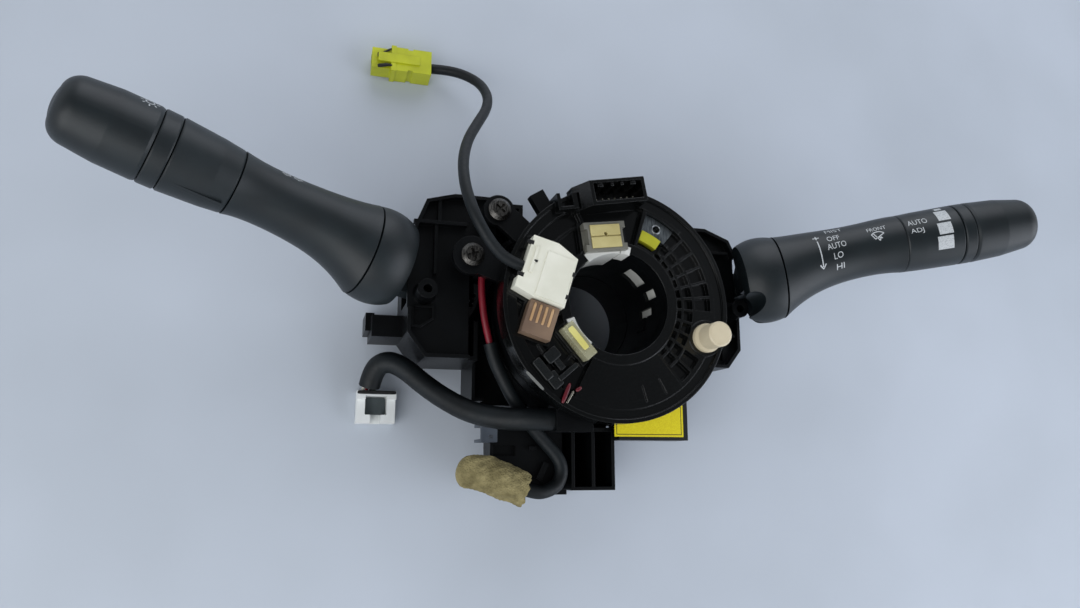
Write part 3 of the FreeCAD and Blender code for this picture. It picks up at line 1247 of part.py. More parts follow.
build()
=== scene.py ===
import bmesh
import bpy
import numpy as np
from mathutils import Matrix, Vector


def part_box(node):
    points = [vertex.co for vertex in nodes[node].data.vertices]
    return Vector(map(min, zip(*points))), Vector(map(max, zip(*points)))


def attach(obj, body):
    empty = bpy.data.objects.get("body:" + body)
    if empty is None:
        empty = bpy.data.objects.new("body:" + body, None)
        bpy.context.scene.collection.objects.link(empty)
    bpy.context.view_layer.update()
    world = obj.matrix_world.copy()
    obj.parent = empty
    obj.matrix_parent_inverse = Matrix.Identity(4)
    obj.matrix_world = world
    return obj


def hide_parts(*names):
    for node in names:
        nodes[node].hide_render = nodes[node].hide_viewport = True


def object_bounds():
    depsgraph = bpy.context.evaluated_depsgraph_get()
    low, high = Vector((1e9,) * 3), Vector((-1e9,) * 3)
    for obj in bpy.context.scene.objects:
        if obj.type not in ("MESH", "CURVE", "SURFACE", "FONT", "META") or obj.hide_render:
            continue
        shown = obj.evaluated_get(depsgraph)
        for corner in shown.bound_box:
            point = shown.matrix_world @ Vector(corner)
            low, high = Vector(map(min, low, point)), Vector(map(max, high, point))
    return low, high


# The switch assembly lies on its back on a pale table: +Z runs up the steering axis, +Y is up in the car.
# The CAD frame brings the moulded and metal pieces. Each section below dresses one group of them.
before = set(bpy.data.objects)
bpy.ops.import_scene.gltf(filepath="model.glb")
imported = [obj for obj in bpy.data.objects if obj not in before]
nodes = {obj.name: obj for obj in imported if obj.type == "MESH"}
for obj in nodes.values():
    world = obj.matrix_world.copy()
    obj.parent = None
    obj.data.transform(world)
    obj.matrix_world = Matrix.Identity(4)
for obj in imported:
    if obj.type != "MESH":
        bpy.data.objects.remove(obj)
cad_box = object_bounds()
MM = 0.001


# Base of the column switch: one glass-filled PBT moulding with two open cases and their screwed covers.
# The tool is lightly spark-eroded, so the black skin has a fine dry grain and slightly greyer clouds.

def linear(code):
    """Turns an sRGB hex colour into the linear values that the shaders use."""
    parts = [int(code[i:i + 2], 16) / 255 for i in (1, 3, 5)]
    return [p / 12.92 if p <= 0.04045 else ((p + 0.055) / 1.055) ** 2.4 for p in parts] + [1.0]


def add(tree, kind, inputs=None, **settings):
    """Adds one node, sets it up, and feeds each named input a value or another node's output."""
    made = tree.nodes.new(kind)
    for name, value in settings.items():
        setattr(made, name, value)
    for socket, value in (inputs or {}).items():
        if isinstance(value, bpy.types.NodeSocket):
            tree.links.new(value, made.inputs[socket])
        else:
            made.inputs[socket].default_value = value
    return made


def blank(name):
    """A new material with its output node, its tree, and the surface's place in metres."""
    material = bpy.data.materials.new(name)
    material.use_nodes = True
    tree = material.node_tree
    tree.nodes.clear()
    out = tree.nodes.new("ShaderNodeOutputMaterial")
    return material, tree, out, add(tree, "ShaderNodeTexCoord").outputs["Object"]


def two_tones(tree, fac, dark, light, low=0.36, high=0.66):
    """A ramp from one colour to another between two values of fac."""
    ramp = add(tree, "ShaderNodeValToRGB", {"Fac": fac})
    ramp.color_ramp.elements[0].position = low
    ramp.color_ramp.elements[0].color = linear(dark)
    ramp.color_ramp.elements[1].position = high
    ramp.color_ramp.elements[1].color = linear(light)
    return ramp.outputs["Color"]


# A noise texture's values lie almost wholly between these two.
NOISE_LOW, NOISE_HIGH = 0.3, 0.7


def moulded(name, dark, light, roughness, grain_mm, relief_mm, cloud_mm=14.0, edge_mm=0.3, **shader):
    """Moulded plastic: soft clouds between two close colours, and a grain that breaks the gloss.

    edge_mm is the radius that the mould leaves on every corner, which catches a thin line of light.
    """
    material, tree, out, place = blank(name)
    cloud = add(tree, "ShaderNodeTexNoise", {"Vector": place, "Scale": 1 / (cloud_mm * MM), "Detail": 3.0})
    grain = add(tree, "ShaderNodeTexNoise", {"Vector": place, "Scale": 1 / (grain_mm * MM), "Detail": 2.0})
    gloss = add(tree, "ShaderNodeMapRange", {"Value": grain.outputs["Fac"], "From Min": NOISE_LOW,
                                             "From Max": NOISE_HIGH, "To Min": roughness - 0.05,
                                             "To Max": roughness + 0.07})
    edge = add(tree, "ShaderNodeBevel", {"Radius": edge_mm * MM}, samples=4)
    bump = add(tree, "ShaderNodeBump", {"Height": grain.outputs["Fac"], "Distance": relief_mm * MM,
                                        "Normal": edge.outputs["Normal"]})
    surface = add(tree, "ShaderNodeBsdfPrincipled",
                  {"Base Color": two_tones(tree, cloud.outputs["Fac"], dark, light),
                   "Roughness": gloss.outputs["Result"], "Normal": bump.outputs["Normal"], **shader})
    tree.links.new(surface.outputs["BSDF"], out.inputs["Surface"])
    return material


def dress(material, *names):
    """Gives CAD nodes a finish."""
    for name in names:
        nodes[name].data.materials.clear()
        nodes[name].data.materials.append(material)


# Glass fibres near the skin make this PBT dry and a little grey where light grazes it.
black_pbt = moulded("black glass-filled PBT", "#040506", "#090b0d", 0.36, 0.5, 0.01,
                    **{"Specular IOR Level": 0.22})
dress(black_pbt, "base_housing", "left_case_cover", "right_case_cover", "stator_housing", "hub_sleeve",
      "left_carrier", "right_carrier", "connector_bracket")

# Small latch of slate grey PBT on the bracket's corner.
dress(moulded("slate grey PBT", "#454c55", "#575e68", 0.45, 0.4, 0.01), "bracket_clip")


# Working pieces inside the cases: white acetal plungers run on dark acetal tracks, sprung by small square
# wire springs, and green glass-epoxy contact boards lie under the carriers' wipers.
dress(moulded("white acetal", "#d9d9d4", "#e6e6e2", 0.36, 0.8, 0.008), "left_detent_plunger",
      "right_detent_plunger")
dress(moulded("dark acetal", "#141517", "#1d1f21", 0.34, 0.8, 0.008), "left_detent_track",
      "right_detent_track")


def metal(name, dark, light, roughness, scratch_mm):
    """Metal with faint cloudy plating and short scratches drawn out along one axis."""
    material, tree, out, place = blank(name)
    run = add(tree, "ShaderNodeMapping", {"Vector": place, "Scale": (1.0, 0.12, 1.0)})
    scratch = add(tree, "ShaderNodeTexNoise", {"Vector": run.outputs["Vector"],
                                               "Scale": 1 / (scratch_mm * MM), "Detail": 4.0})
    gloss = add(tree, "ShaderNodeMapRange", {"Value": scratch.outputs["Fac"], "From Min": NOISE_LOW,
                                             "From Max": NOISE_HIGH, "To Min": roughness - 0.08,
                                             "To Max": roughness + 0.12})
    surface = add(tree, "ShaderNodeBsdfPrincipled",
                  {"Base Color": two_tones(tree, scratch.outputs["Fac"], dark, light), "Metallic": 1.0,
                   "Roughness": gloss.outputs["Result"]})
    tree.links.new(surface.outputs["BSDF"], out.inputs["Surface"])
    return material


# Oil-tempered spring wire is a cold dark grey with drawn scratches.
dress(metal("spring steel", "#7d7d7c", "#a4a3a0", 0.34, 0.4), "left_detent_spring", "right_detent_spring")

# Solder mask over glass cloth is a deep green with a woven shade under the gloss.
board_green = moulded("green solder mask", "#0c3a20", "#15502c", 0.28, 0.9, 0.006)
dress(board_green, "left_contact_board", "right_contact_board", "sensor_board")


# Steering angle sensor: a flat black case under the rotor with a hub gear, two measuring gears with
# magnets, and a bare yellow paper label on the corner that shows.
dress(moulded("black ABS case", "#08090a", "#101112", 0.36, 0.45, 0.02), "sensor_housing", "sensor_cover")

# Natural acetal gears are milky and slightly waxy.
dress(moulded("natural acetal", "#dcd9cf", "#e9e7df", 0.38, 1.0, 0.006), "hub_gear", "measuring_gear_a",
      "measuring_gear_b")
dress(metal("sintered magnet", "#3a3a3c", "#57575a", 0.42, 0.3), "magnet_a", "magnet_b")

# Printed polyester label: flat yellow with a thin black frame line, left bare.
label, tree, out, place = blank("yellow label paper")
low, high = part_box("sensor_label")
FRAME_IN = 1.1 * MM
FRAME_LINE = 0.35 * MM
PAPER_FIBRE = 0.5 * MM
middle = [(a + b) / 2 for a, b in zip(low, high)]
half = [(b - a) / 2 for a, b in zip(low, high)]
centred = add(tree, "ShaderNodeVectorMath", {0: place, 1: middle}, operation="SUBTRACT")
folded = add(tree, "ShaderNodeVectorMath", {0: centred.outputs["Vector"]}, operation="ABSOLUTE")
axes = add(tree, "ShaderNodeSeparateXYZ", {"Vector": folded.outputs["Vector"]})
from_x = add(tree, "ShaderNodeMath", {0: half[0] - FRAME_IN, 1: axes.outputs["X"]}, operation="SUBTRACT")
from_y = add(tree, "ShaderNodeMath", {0: half[1] - FRAME_IN, 1: axes.outputs["Y"]}, operation="SUBTRACT")
inset = add(tree, "ShaderNodeMath", {0: from_x.outputs["Value"], 1: from_y.outputs["Value"]},
            operation="MINIMUM")
line = add(tree, "ShaderNodeMath", {0: inset.outputs["Value"], 1: 0.0, 2: FRAME_LINE / 2},
           operation="COMPARE")
fibre = add(tree, "ShaderNodeTexNoise", {"Vector": place, "Scale": 1 / PAPER_FIBRE, "Detail": 3.0})
paper = two_tones(tree, fibre.outputs["Fac"], "#e4cf00", "#f2e21a")
inked = add(tree, "ShaderNodeMix", {0: line.outputs["Value"], 6: paper, 7: linear("#16160f")},
            data_type="RGBA")
surface = add(tree, "ShaderNodeBsdfPrincipled", {"Base Color": inked.outputs[2], "Roughness": 0.42})
tree.links.new(surface.outputs["BSDF"], out.inputs["Surface"])
dress(label, "sensor_label")


# Spiral cable: the ribbon coil turns inside the stator on a white core ring, under a smooth black rotor.
# The rotor is polished ABS, so it mirrors the room softly and shows faint moulding flow.
dress(moulded("white PBT core", "#cfcfc9", "#dfdfd9", 0.4, 0.7, 0.01), "core_ring")
polished = moulded("polished black ABS", "#030404", "#060707", 0.16, 0.8, 0.002, 20.0, 0.5,
                    **{"Specular IOR Level": 0.5})
dress(polished, "rotor")

# Flat ribbon cable: copper tracks under a dark polyester film. The wave texture repeats every 0.314 of its
# unit, so this one lays a track every 2 mm.
TRACK_UNIT = 6.3 * MM
film, tree, out, place = blank("ribbon film")
tracks = add(tree, "ShaderNodeTexWave", {"Vector": place, "Scale": 1 / TRACK_UNIT, "Distortion": 0.0},
             bands_direction="Z")
surface = add(tree, "ShaderNodeBsdfPrincipled",
              {"Base Color": two_tones(tree, tracks.outputs["Fac"], "#241a12", "#8a5a34", 0.55, 0.75),
               "Roughness": 0.25})
tree.links.new(surface.outputs["BSDF"], out.inputs["Surface"])
dress(film, "ribbon_coil")


# Pieces in the rotor's windows: a stamped plate with its hole, a yellow-green keyed block, the grey shell of
# the upper socket with its tan insert, and the ivory acetal pin that the steering wheel drives.
dress(metal("tinned steel", "#5a5f62", "#7d8284", 0.42, 0.5), "window_plate")
dress(moulded("yellow green PBT", "#a5a31d", "#bbb92c", 0.42, 0.6, 0.01), "window_block")
dress(moulded("smoky grey nylon", "#6f6e66", "#8a887d", 0.34, 0.8, 0.008,
              **{"Transmission Weight": 0.25, "IOR": 1.53}), "upper_socket")
dress(moulded("pale tan PBT", "#b6a86c", "#cabd84", 0.42, 0.8, 0.01), "socket_insert")
dress(moulded("smoky brown nylon", "#7d6655", "#9a8069", 0.36, 0.8, 0.01,
              **{"Transmission Weight": 0.2, "IOR": 1.53}), "tan_connector")
dress(moulded("ivory acetal", "#cfc1a2", "#ded1b4", 0.34, 0.9, 0.006), "drive_pin")
dress(moulded("ivory nylon", "#e4e2d0", "#f0eede", 0.4, 0.7, 0.01), "squib_plug")
dress(moulded("white nylon", "#e2e4e2", "#eef0ee", 0.4, 0.7, 0.01), "harness_plug")

# Clear polycarbonate lets the pale room through and goes smoky at its thick edges.
dress(moulded("clear polycarbonate", "#bdb892", "#d2cfae", 0.22, 1.2, 0.004,
              **{"Transmission Weight": 0.45, "IOR": 1.58}), "clear_connector")
dress(moulded("yellow nylon", "#b2b71a", "#c9ce24", 0.38, 0.7, 0.01), "squib_connector")


def skin(name, points, faces, material):
    """A smooth piece that sits at the origin, from its points in mm and its faces."""
    mesh = bpy.data.meshes.new(name)
    mesh.from_pydata((points * MM).tolist(), [], faces)
    mesh.shade_smooth()
    mesh.materials.append(material)
    piece = bpy.data.objects.new(name, mesh)
    bpy.context.scene.collection.objects.link(piece)
    return piece


def pebble(name, centre, half, axis, corner, body, material, steps=(20, 40)):
    """Rounded block: a superellipsoid, centre + axes * half * (|cos|, |sin|)^corner, signed, over two angles.

    The first of its axes points along axis (degrees about +Z, or a heading in mm), the third one is up.
    """
    down = np.linspace(-np.pi / 2, np.pi / 2, steps[0] + 1)[1:-1]
    round_ = np.linspace(0, 2 * np.pi, steps[1], endpoint=False)
    v, u = np.meshgrid(down, round_, indexing="ij")
    wave = [np.cos(v) ** corner * np.sign(np.cos(u)) * np.abs(np.cos(u)) ** corner,
            np.cos(v) ** corner * np.sign(np.sin(u)) * np.abs(np.sin(u)) ** corner,
            np.sign(np.sin(v)) * np.abs(np.sin(v)) ** corner]
    shell = np.stack([w * h for w, h in zip(wave, half)], -1).reshape(-1, 3)
    points = np.concatenate([shell, [[0, 0, -half[2]], [0, 0, half[2]]]])
    if np.ndim(axis):
        first = np.array(axis, float) / np.linalg.norm(axis)
    else:
        first = np.array([np.cos(np.radians(axis)), np.sin(np.radians(axis)), 0.0])
    second = np.cross((0, 0, 1), first)
    second /= np.linalg.norm(second)
    points = points @ np.stack([first, second, np.cross(first, second)]) + np.array(centre)
    index = np.arange(len(shell)).reshape(v.shape)
    ahead = np.roll(index, -1, axis=1)
    sides = np.stack([index[:-1], ahead[:-1], ahead[1:], index[1:]], -1).reshape(-1, 4).tolist()
    foot, crown = len(shell), len(shell) + 1
    low_cap = np.stack([ahead[0], index[0], np.full(steps[1], foot)], -1).tolist()
    high_cap = np.stack([index[-1], ahead[-1], np.full(steps[1], crown)], -1).tolist()
    piece = skin(name, points, sides + low_cap + high_cap, material)
    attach(piece, body)
    return piece


def turned(x, y, angle):
    """A point turned by an angle in degrees about the steering axis."""
    c, s = np.cos(np.radians(angle)), np.sin(np.radians(angle))
    return x * c - y * s, x * s + y * c


# Painted shade: dark insets stand in for the shade inside the ivory plug's notches, where its latches pass
# through, and last inside the keyhole on its face. Each row is a place on the rotor before it is turned by
# PLUG_TURN, then half the length and half the width.
PLUG_TURN = -17.5
NOTCH_SHADE_HALF_DEPTH = 0.6
NOTCH_SHADES = [(-47.4, 8.9, 75.9, 1.5, 0.9), (-47.4, -6.0, 75.9, 1.5, 0.9), (-25.4, 1.9, 75.9, 0.8, 1.5),
           (-25.4, -8.4, 75.9, 0.8, 1.5), (-43.0, 1.6, 76.65, 0.9, 0.45)]
# One black material: painted shade in the notches here, and the real black of the lock bar and clips further
# down.
notch_shade_and_clip_black = moulded("painted notch shade and clip black", "#060606", "#0d0d0c", 0.5, 0.6, 0.01)
for index, (x, y, z, long, wide) in enumerate(NOTCH_SHADES):
    pebble(f"plug_notch_shade_{index}", (*turned(x, y, PLUG_TURN), z), (long, wide, NOTCH_SHADE_HALF_DEPTH), PLUG_TURN,
           0.35, "rotor", notch_shade_and_clip_black)

# The smoky brown connector's four tan terminal bars stand in its slots.
BAR_COUNT, BAR_STEP = 4, 2.7
BAR_FIRST = (-37.0, -19.05)
BAR_HEIGHT = 73.9
BAR_HALF = (0.62, 4.2, 0.9)
tan_bar = moulded("tan PBT", "#b48f66", "#caa67c", 0.42, 0.8, 0.01)
for index in range(BAR_COUNT):
    bar_at = turned(BAR_FIRST[0] + index * BAR_STEP, BAR_FIRST[1], PLUG_TURN)
    pebble(f"tan_bar_{index}", (*bar_at, BAR_HEIGHT), BAR_HALF, PLUG_TURN, 0.3, "rotor", tan_bar)

# A pale yellow keying strip lies along the clear connector.
CLEAR_TURN = -49.5
STRIP_AT = (-21.11125, -17.45, 74.9)
pebble("clear_strip", STRIP_AT, (5.9, 1.35, 0.45), CLEAR_TURN, 0.25, "rotor",
       moulded("pale yellow PBT", "#cfc46a", "#ded582", 0.4, 0.7, 0.01))


def hoop(name, centre, radius, thick, body, material, steps=(40, 12)):
    """Torus: centre + (radius + thick cos t) (cos u, sin u) and up by thick sin t, u = turn and t = tube."""
    turn, tube = np.meshgrid(np.linspace(0, 2 * np.pi, steps[0], endpoint=False),
                             np.linspace(0, 2 * np.pi, steps[1], endpoint=False), indexing="ij")
    reach = radius + thick * np.cos(tube)
    points = np.stack([centre[0] + reach * np.cos(turn), centre[1] + reach * np.sin(turn),
                       centre[2] + thick * np.sin(tube)], -1).reshape(-1, 3)
    index = np.arange(turn.size).reshape(turn.shape)
    ahead = np.roll(index, -1, axis=0)
    faces = np.stack([index, ahead, np.roll(ahead, -1, axis=1), np.roll(index, -1, axis=1)], -1)
    piece = skin(name, points, faces.reshape(-1, 4).tolist(), material)
    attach(piece, body)
    return piece


# A raised pressed ring lies round the window plate's hole.
HOLE_OUT, HOLE_TURN = 41.0, 61.25
RIM_HEIGHT = 67.4
rim_steel = metal("pressed steel rim", "#85898b", "#a5a8a9", 0.34, 0.3)
hoop("plate_hole_rim", (*turned(HOLE_OUT, 0, HOLE_TURN), RIM_HEIGHT), 2.0, 0.4, "rotor", rim_steel)

# Pins of the top shroud's connector: square brass posts in a row, and four moulded keys on its upper wall.
SHROUD_TURN = 10.4
PIN_COUNT, PIN_STEP = 7, 3.0
PIN_FIRST = (-3.6, 46.4)
PIN_HEIGHT = 71.2
PIN_HALF = (0.4, 0.4, 3.2)
pin_metal = metal("tinned brass", "#8f8a7c", "#b5b0a2", 0.3, 0.3)
for index in range(PIN_COUNT):
    pin_at = turned(PIN_FIRST[0] + PIN_STEP * index, PIN_FIRST[1], SHROUD_TURN)
    pebble(f"shroud_pin_{index}", (*pin_at, PIN_HEIGHT), PIN_HALF, SHROUD_TURN, 0.3, "rotor", pin_metal,
           (12, 16))
KEYS = ((-2.2, 1.5), (3.4, 0.9), (8.2, 0.9), (13.6, 1.5))
KEY_ROW, KEY_HEIGHT = 51.7, 73.6
KEY_HALF_DEPTH, KEY_HALF_TALL = 1.0, 5.4
for index, (x, half_long) in enumerate(KEYS):
    pebble(f"shroud_key_{index}", (*turned(x, KEY_ROW, SHROUD_TURN), KEY_HEIGHT),
           (half_long, KEY_HALF_DEPTH, KEY_HALF_TALL), SHROUD_TURN, 0.25, "rotor", polished)


# Behind the clear connector the spiral cable's end comes up through the rotor: black retaining blocks, two
# short red wire ends beside a tinned terminal, and the edge of a grey felt ring under the rim.
# Each row is the block's centre, its half sizes and its heading in degrees.
BLOCKS = [((-35.6, -30.8, 70.3), (5.2, 2.0, 1.1), -49.5), ((-30.4, -35.2, 70.2), (3.6, 2.6, 0.9), -49.5),
          ((-31.6, -24.6, 70.4), (3.4, 2.6, 1.0), 40.5), ((-24.6, -31.6, 70.4), (1.1, 5.4, 1.3), -49.5),
          ((-28.2, -28.4, 70.2), (2.6, 1.4, 0.8), -49.5)]
retainer = moulded("retainer black ABS", "#0a0c0d", "#121515", 0.3, 0.6, 0.004)
for index, (centre, half, axis) in enumerate(BLOCKS):
    pebble(f"retainer_{index}", centre, half, axis, 0.22, "rotor", retainer)
wire_end = moulded("dark red PVC", "#560c18", "#74121f", 0.35, 1.0, 0.01)
pebble("red_wire_end_0", (-25.4, -40.6, 70.7), (4.6, 0.85, 0.8), (-3.39, -8.33, 0), 0.7, "rotor", wire_end)
pebble("red_wire_end_1", (-19.8, -38.75, 70.6), (1.5, 0.75, 0.7), (3.0, 2.0, 0), 0.7, "rotor", wire_end)
pebble("tinned_terminal", (-23.6, -42.2, 70.4), (3.0, 0.45, 0.5), (-3.1, -5.1, 0), 0.4, "rotor", pin_metal)
pebble("felt_edge", (-38.9, -35.6, 69.9), (5.3, 0.55, 0.5), (7.43, -7.35, 0), 0.4, "rotor",
       moulded("grey felt", "#585956", "#747571", 0.9, 0.5, 0.05))


# Case screws: cold-headed steel with a dark zinc plate, driven down into the base's posts. The plate gives
# their pan heads and cross recesses a soft dark shine.
dress(metal("dark zinc plate", "#2c2b2a", "#74716c", 0.34, 0.3), "case_screws")


# Stalks: gas-assisted PBT shells with turning end rings and knobs. The mould is finely etched, so the
# blue-black skin is satin, with a leather-fine grain that scatters the long highlights.
stalk_black = moulded("satin stalk plastic", "#0f1619", "#161e21", 0.42, 0.4, 0.012,
                      **{"Specular IOR Level": 0.45})
dress(stalk_black, "left_lever_arm", "left_lever_shell", "left_ring", "left_index_band", "left_knob",
      "right_lever_arm", "right_lever_shell", "right_ring", "right_index_band", "right_knob")

# Each stalk's own directions: w along it, u across it and down the photograph, v out of its face.
# A section row is its distance from the collar, the shift of its middle along u, and its two half widths.
LEFT = {"collar": (-109.8, 23.5, 53.2), "w": (-0.906563, 0.251156, 0.339211),
        "u": (-0.266985, -0.963701, 0.0), "v": (0.3269, -0.0906, 0.9407), "reads": -1,
        "rows": [(0.8, 3.4, 20.3, 17.6), (6, 2.4, 18, 16.4), (16, 1, 15, 14.6), (30, 0.2, 12.9, 12.9),
                 (42, 0, 12.2, 12.2), (58.2, 0, 13.3, 13.3), (82.8, 0, 14.9, 14.9), (123, 0, 12.5, 12.5)]}
RIGHT = {"collar": (88.0, 26.8, 55.8), "w": (0.931163, 0.157027, 0.329057),
         "u": (0.166288, -0.986077, 0.0), "v": (-0.32448, -0.05472, 0.94431), "reads": 1,
         "rows": [(0.8, 6.6, 20.3, 17.6), (6, 5, 18.4, 16.6), (16, 2.6, 15.8, 15.2), (30, 0.8, 13.8, 13.8),
                  (42, 0, 13.3, 13.3), (61.2, 0, 14.1, 14.1), (88.5, 0, 14.7, 14.7), (128, 0, 12.0, 12.0)]}
PRINT_LIFT = 0.04


def on_stalk(stalk, along, turn):
    """Surface of a stalk: collar + w s + u (c + a sin t) + v b cos t, with c, a and b read from its rows."""
    rows = np.array(stalk["rows"])
    shift, wide, deep = (np.interp(along, rows[:, 0], rows[:, k]) for k in (1, 2, 3))
    across = (shift + wide * np.sin(turn))[..., None] * np.array(stalk["u"])
    outward = (deep * np.cos(turn))[..., None] * np.array(stalk["v"])
    return np.array(stalk["collar"]) + along[..., None] * np.array(stalk["w"]) + across + outward


def printed(name, flat, faces, stalk, along, turn, node, body, ink):
    """Pad print: flat points in mm, bent round the stalk as on_stalk(along + x, turn - y / radius).

    x reads along the stalk and y up, and the bent print is pressed onto a node's skin.
    """
    rows = np.array(stalk["rows"])
    radius = np.interp(along, rows[:, 0], (rows[:, 2] + rows[:, 3]) / 2)
    points = on_stalk(stalk, along + stalk["reads"] * flat[:, 0], np.radians(turn) - flat[:, 1] / radius)
    mesh = bpy.data.meshes.new(name)
    mesh.from_pydata((points * MM).tolist(), [], faces)
    piece = bpy.data.objects.new(name, mesh)
    bpy.context.scene.collection.objects.link(piece)
    press = piece.modifiers.new("press", "SHRINKWRAP")
    press.target = nodes[node]
    press.wrap_method = "NEAREST_SURFACEPOINT"
    press.wrap_mode = "ABOVE_SURFACE"
    press.offset = PRINT_LIFT * MM
    bpy.context.view_layer.update()
    seen = piece.evaluated_get(bpy.context.evaluated_depsgraph_get())
    pressed = bpy.data.meshes.new_from_object(seen)
    piece.modifiers.clear()
    piece.data = pressed
    pressed.materials.append(ink)
    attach(piece, body)
    return piece


# Prints are cut every so many millimetres, so that they bend with the skin under them.
COURSE = 0.4


def strokes(paths, width):
    """Pen lines: each path is stepped every COURSE and given half the width on both sides of its heading."""
    points, faces = [], []
    for path in paths:
        path = np.array(path, float)
        reach = np.concatenate([[0], np.cumsum(np.linalg.norm(np.diff(path, axis=0), axis=1))])
        steps = np.unique(np.concatenate([reach, np.arange(0, reach[-1], COURSE)]))
        line = np.stack([np.interp(steps, reach, path[:, k]) for k in (0, 1)], 1)
        heading = np.gradient(line, axis=0)
        side = np.stack([-heading[:, 1], heading[:, 0]], 1)
        side *= width / 2 / np.linalg.norm(side, axis=1)[:, None]
        first = sum(len(p) for p in points)
        points.append(np.stack([line + side, line - side], 1).reshape(-1, 2))
        start = first + 2 * np.arange(len(line) - 1)
        faces += np.stack([start, start + 1, start + 3, start + 2], 1).tolist()
    return np.concatenate(points), faces


def lettering(word, wide, high):
    """A word's filled outline, fitted to wide by high mm and cut across every COURSE."""
    curve = bpy.data.curves.new("word", "FONT")
    curve.body = word
    curve.resolution_u = 3
    holder = bpy.data.objects.new("word", curve)
    bpy.context.scene.collection.objects.link(holder)
    bpy.context.view_layer.update()
    mesh = bpy.data.meshes.new_from_object(holder.evaluated_get(bpy.context.evaluated_depsgraph_get()))
    bpy.data.objects.remove(holder)
    place = np.empty(len(mesh.vertices) * 3)
    mesh.vertices.foreach_get("co", place)
    place = place.reshape(-1, 3)
    low, size = place[:, :2].min(0), np.ptp(place[:, :2], axis=0)
    place[:, :2] = (place[:, :2] - low - size / 2) * (wide / size[0], high / size[1])
    mesh.vertices.foreach_set("co", place.ravel())
    shape = bmesh.new()
    shape.from_mesh(mesh)
    for level in np.arange(-high / 2 + COURSE, high / 2, COURSE):
        bmesh.ops.bisect_plane(shape, geom=shape.verts[:] + shape.edges[:] + shape.faces[:],
                               plane_co=(0, level, 0), plane_no=(0, 1, 0))
    bmesh.ops.triangulate(shape, faces=shape.faces)
    shape.to_mesh(mesh)
    shape.free()
    flat = np.empty(len(mesh.vertices) * 3)
    mesh.vertices.foreach_get("co", flat)
    flat = flat.reshape(-1, 3)[:, :2]
    faces = np.empty(len(mesh.loops), int)
    mesh.loops.foreach_get("vertex_index", faces)
    faces = faces.reshape(-1, 3)
    first, second = flat[faces[:, 1]] - flat[faces[:, 0]], flat[faces[:, 2]] - flat[faces[:, 0]]
    under = first[:, 0] * second[:, 1] < first[:, 1] * second[:, 0]
    faces[under] = faces[under][:, ::-1]
    return flat, faces.tolist()


def patch(outline_low, outline_high, across=6):
    """A filled band between two polylines of as many points, divided evenly from one to the other."""
    low, high = np.array(outline_low, float), np.array(outline_high, float)
    share = np.linspace(0, 1, across + 1)[:, None, None]
    grid = low[None] * (1 - share) + high[None] * share
    index = np.arange(grid.shape[0] * grid.shape[1]).reshape(grid.shape[:2])
    faces = np.stack([index[:-1, :-1], index[:-1, 1:], index[1:, 1:], index[1:, :-1]], -1).reshape(-1, 4)
    return grid.reshape(-1, 2), faces.tolist()


# Pad-printed marks in light grey two-part ink, slightly worn so that the skin's grain shows through.
ink, tree, out, place = blank("light grey pad print")
INK_WEAR = 0.5 * MM
worn = add(tree, "ShaderNodeTexNoise", {"Vector": place, "Scale": 1 / INK_WEAR, "Detail": 3.0})
surface = add(tree, "ShaderNodeBsdfPrincipled",
              {"Base Color": two_tones(tree, worn.outputs["Fac"], "#9a9ea1", "#c9cccd", 0.3, 0.5),
               "Roughness": 0.5})
tree.links.new(surface.outputs["BSDF"], out.inputs["Surface"])

# Each row is a word, its width and height, its distance from the collar, its angle round the stalk, and the
# node and body it is printed on.
WORDS = [("MIST", 8.4, 2.8, 29.6, -55.0, "right_lever_shell", "right_lever"),
         ("OFF", 6.2, 2.9, 27.5, -32.0, "right_lever_shell", "right_lever"),
         ("AUTO", 9.4, 3.0, 28.0, -14.5, "right_lever_shell", "right_lever"),
         ("LO", 4.6, 3.0, 27.8, 6.0, "right_lever_shell", "right_lever"),
         ("HI", 3.9, 3.0, 28.2, 28.5, "right_lever_shell", "right_lever"),
         ("FRONT", 9.0, 2.1, 48.8, -33.0, "right_lever_shell", "right_lever"),
         ("AUTO", 9.2, 3.0, 68.2, -30.5, "right_ring", "right_ring"),
         ("ADJ", 6.2, 3.0, 66.8, -10.5, "right_ring", "right_ring")]
for index, (word, wide, high, along, turn, node, body) in enumerate(WORDS):
    flat, faces = lettering(word, wide, high)
    printed(f"print_{word.lower()}_{index}", flat, faces, RIGHT, along, turn, node, body, ink)

# Wiper positions: a line with an arrow head at its far end and a short tick at the start.
flat, faces = strokes([[(0, 7.2), (0, -6.0)], [(-1.5, -4.8), (0, -7.0)], [(1.5, -4.8), (0, -7.0)],
                       [(-1.6, 9.4), (1.6, 9.4)], [(0, 10.6), (0, 8.2)]], 0.55)
printed("print_wiper_line", flat, faces, RIGHT, 19.5, -4.0, "right_lever_shell", "right_lever", ink)

# Windscreen symbol: a curved screen outline with a slanted blade in it.
arc = np.radians(np.linspace(50, 130, 9))
top_edge = np.stack([4.6 * np.cos(arc), 5.4 * np.sin(arc) - 3.2], 1)
low_edge = np.stack([2.6 * np.cos(arc), 3.0 * np.sin(arc) - 3.9], 1)
flat, faces = strokes([top_edge.tolist() + [low_edge[-1].tolist()],
                       low_edge.tolist() + [top_edge[0].tolist()],
                       [(0.3, -2.6), (-1.9, 1.2)], [(0.3, -2.6), (1.1, -0.6)]], 0.5)
printed("print_screen", flat, faces, RIGHT, 48.5, -16.0, "right_lever_shell", "right_lever", ink)

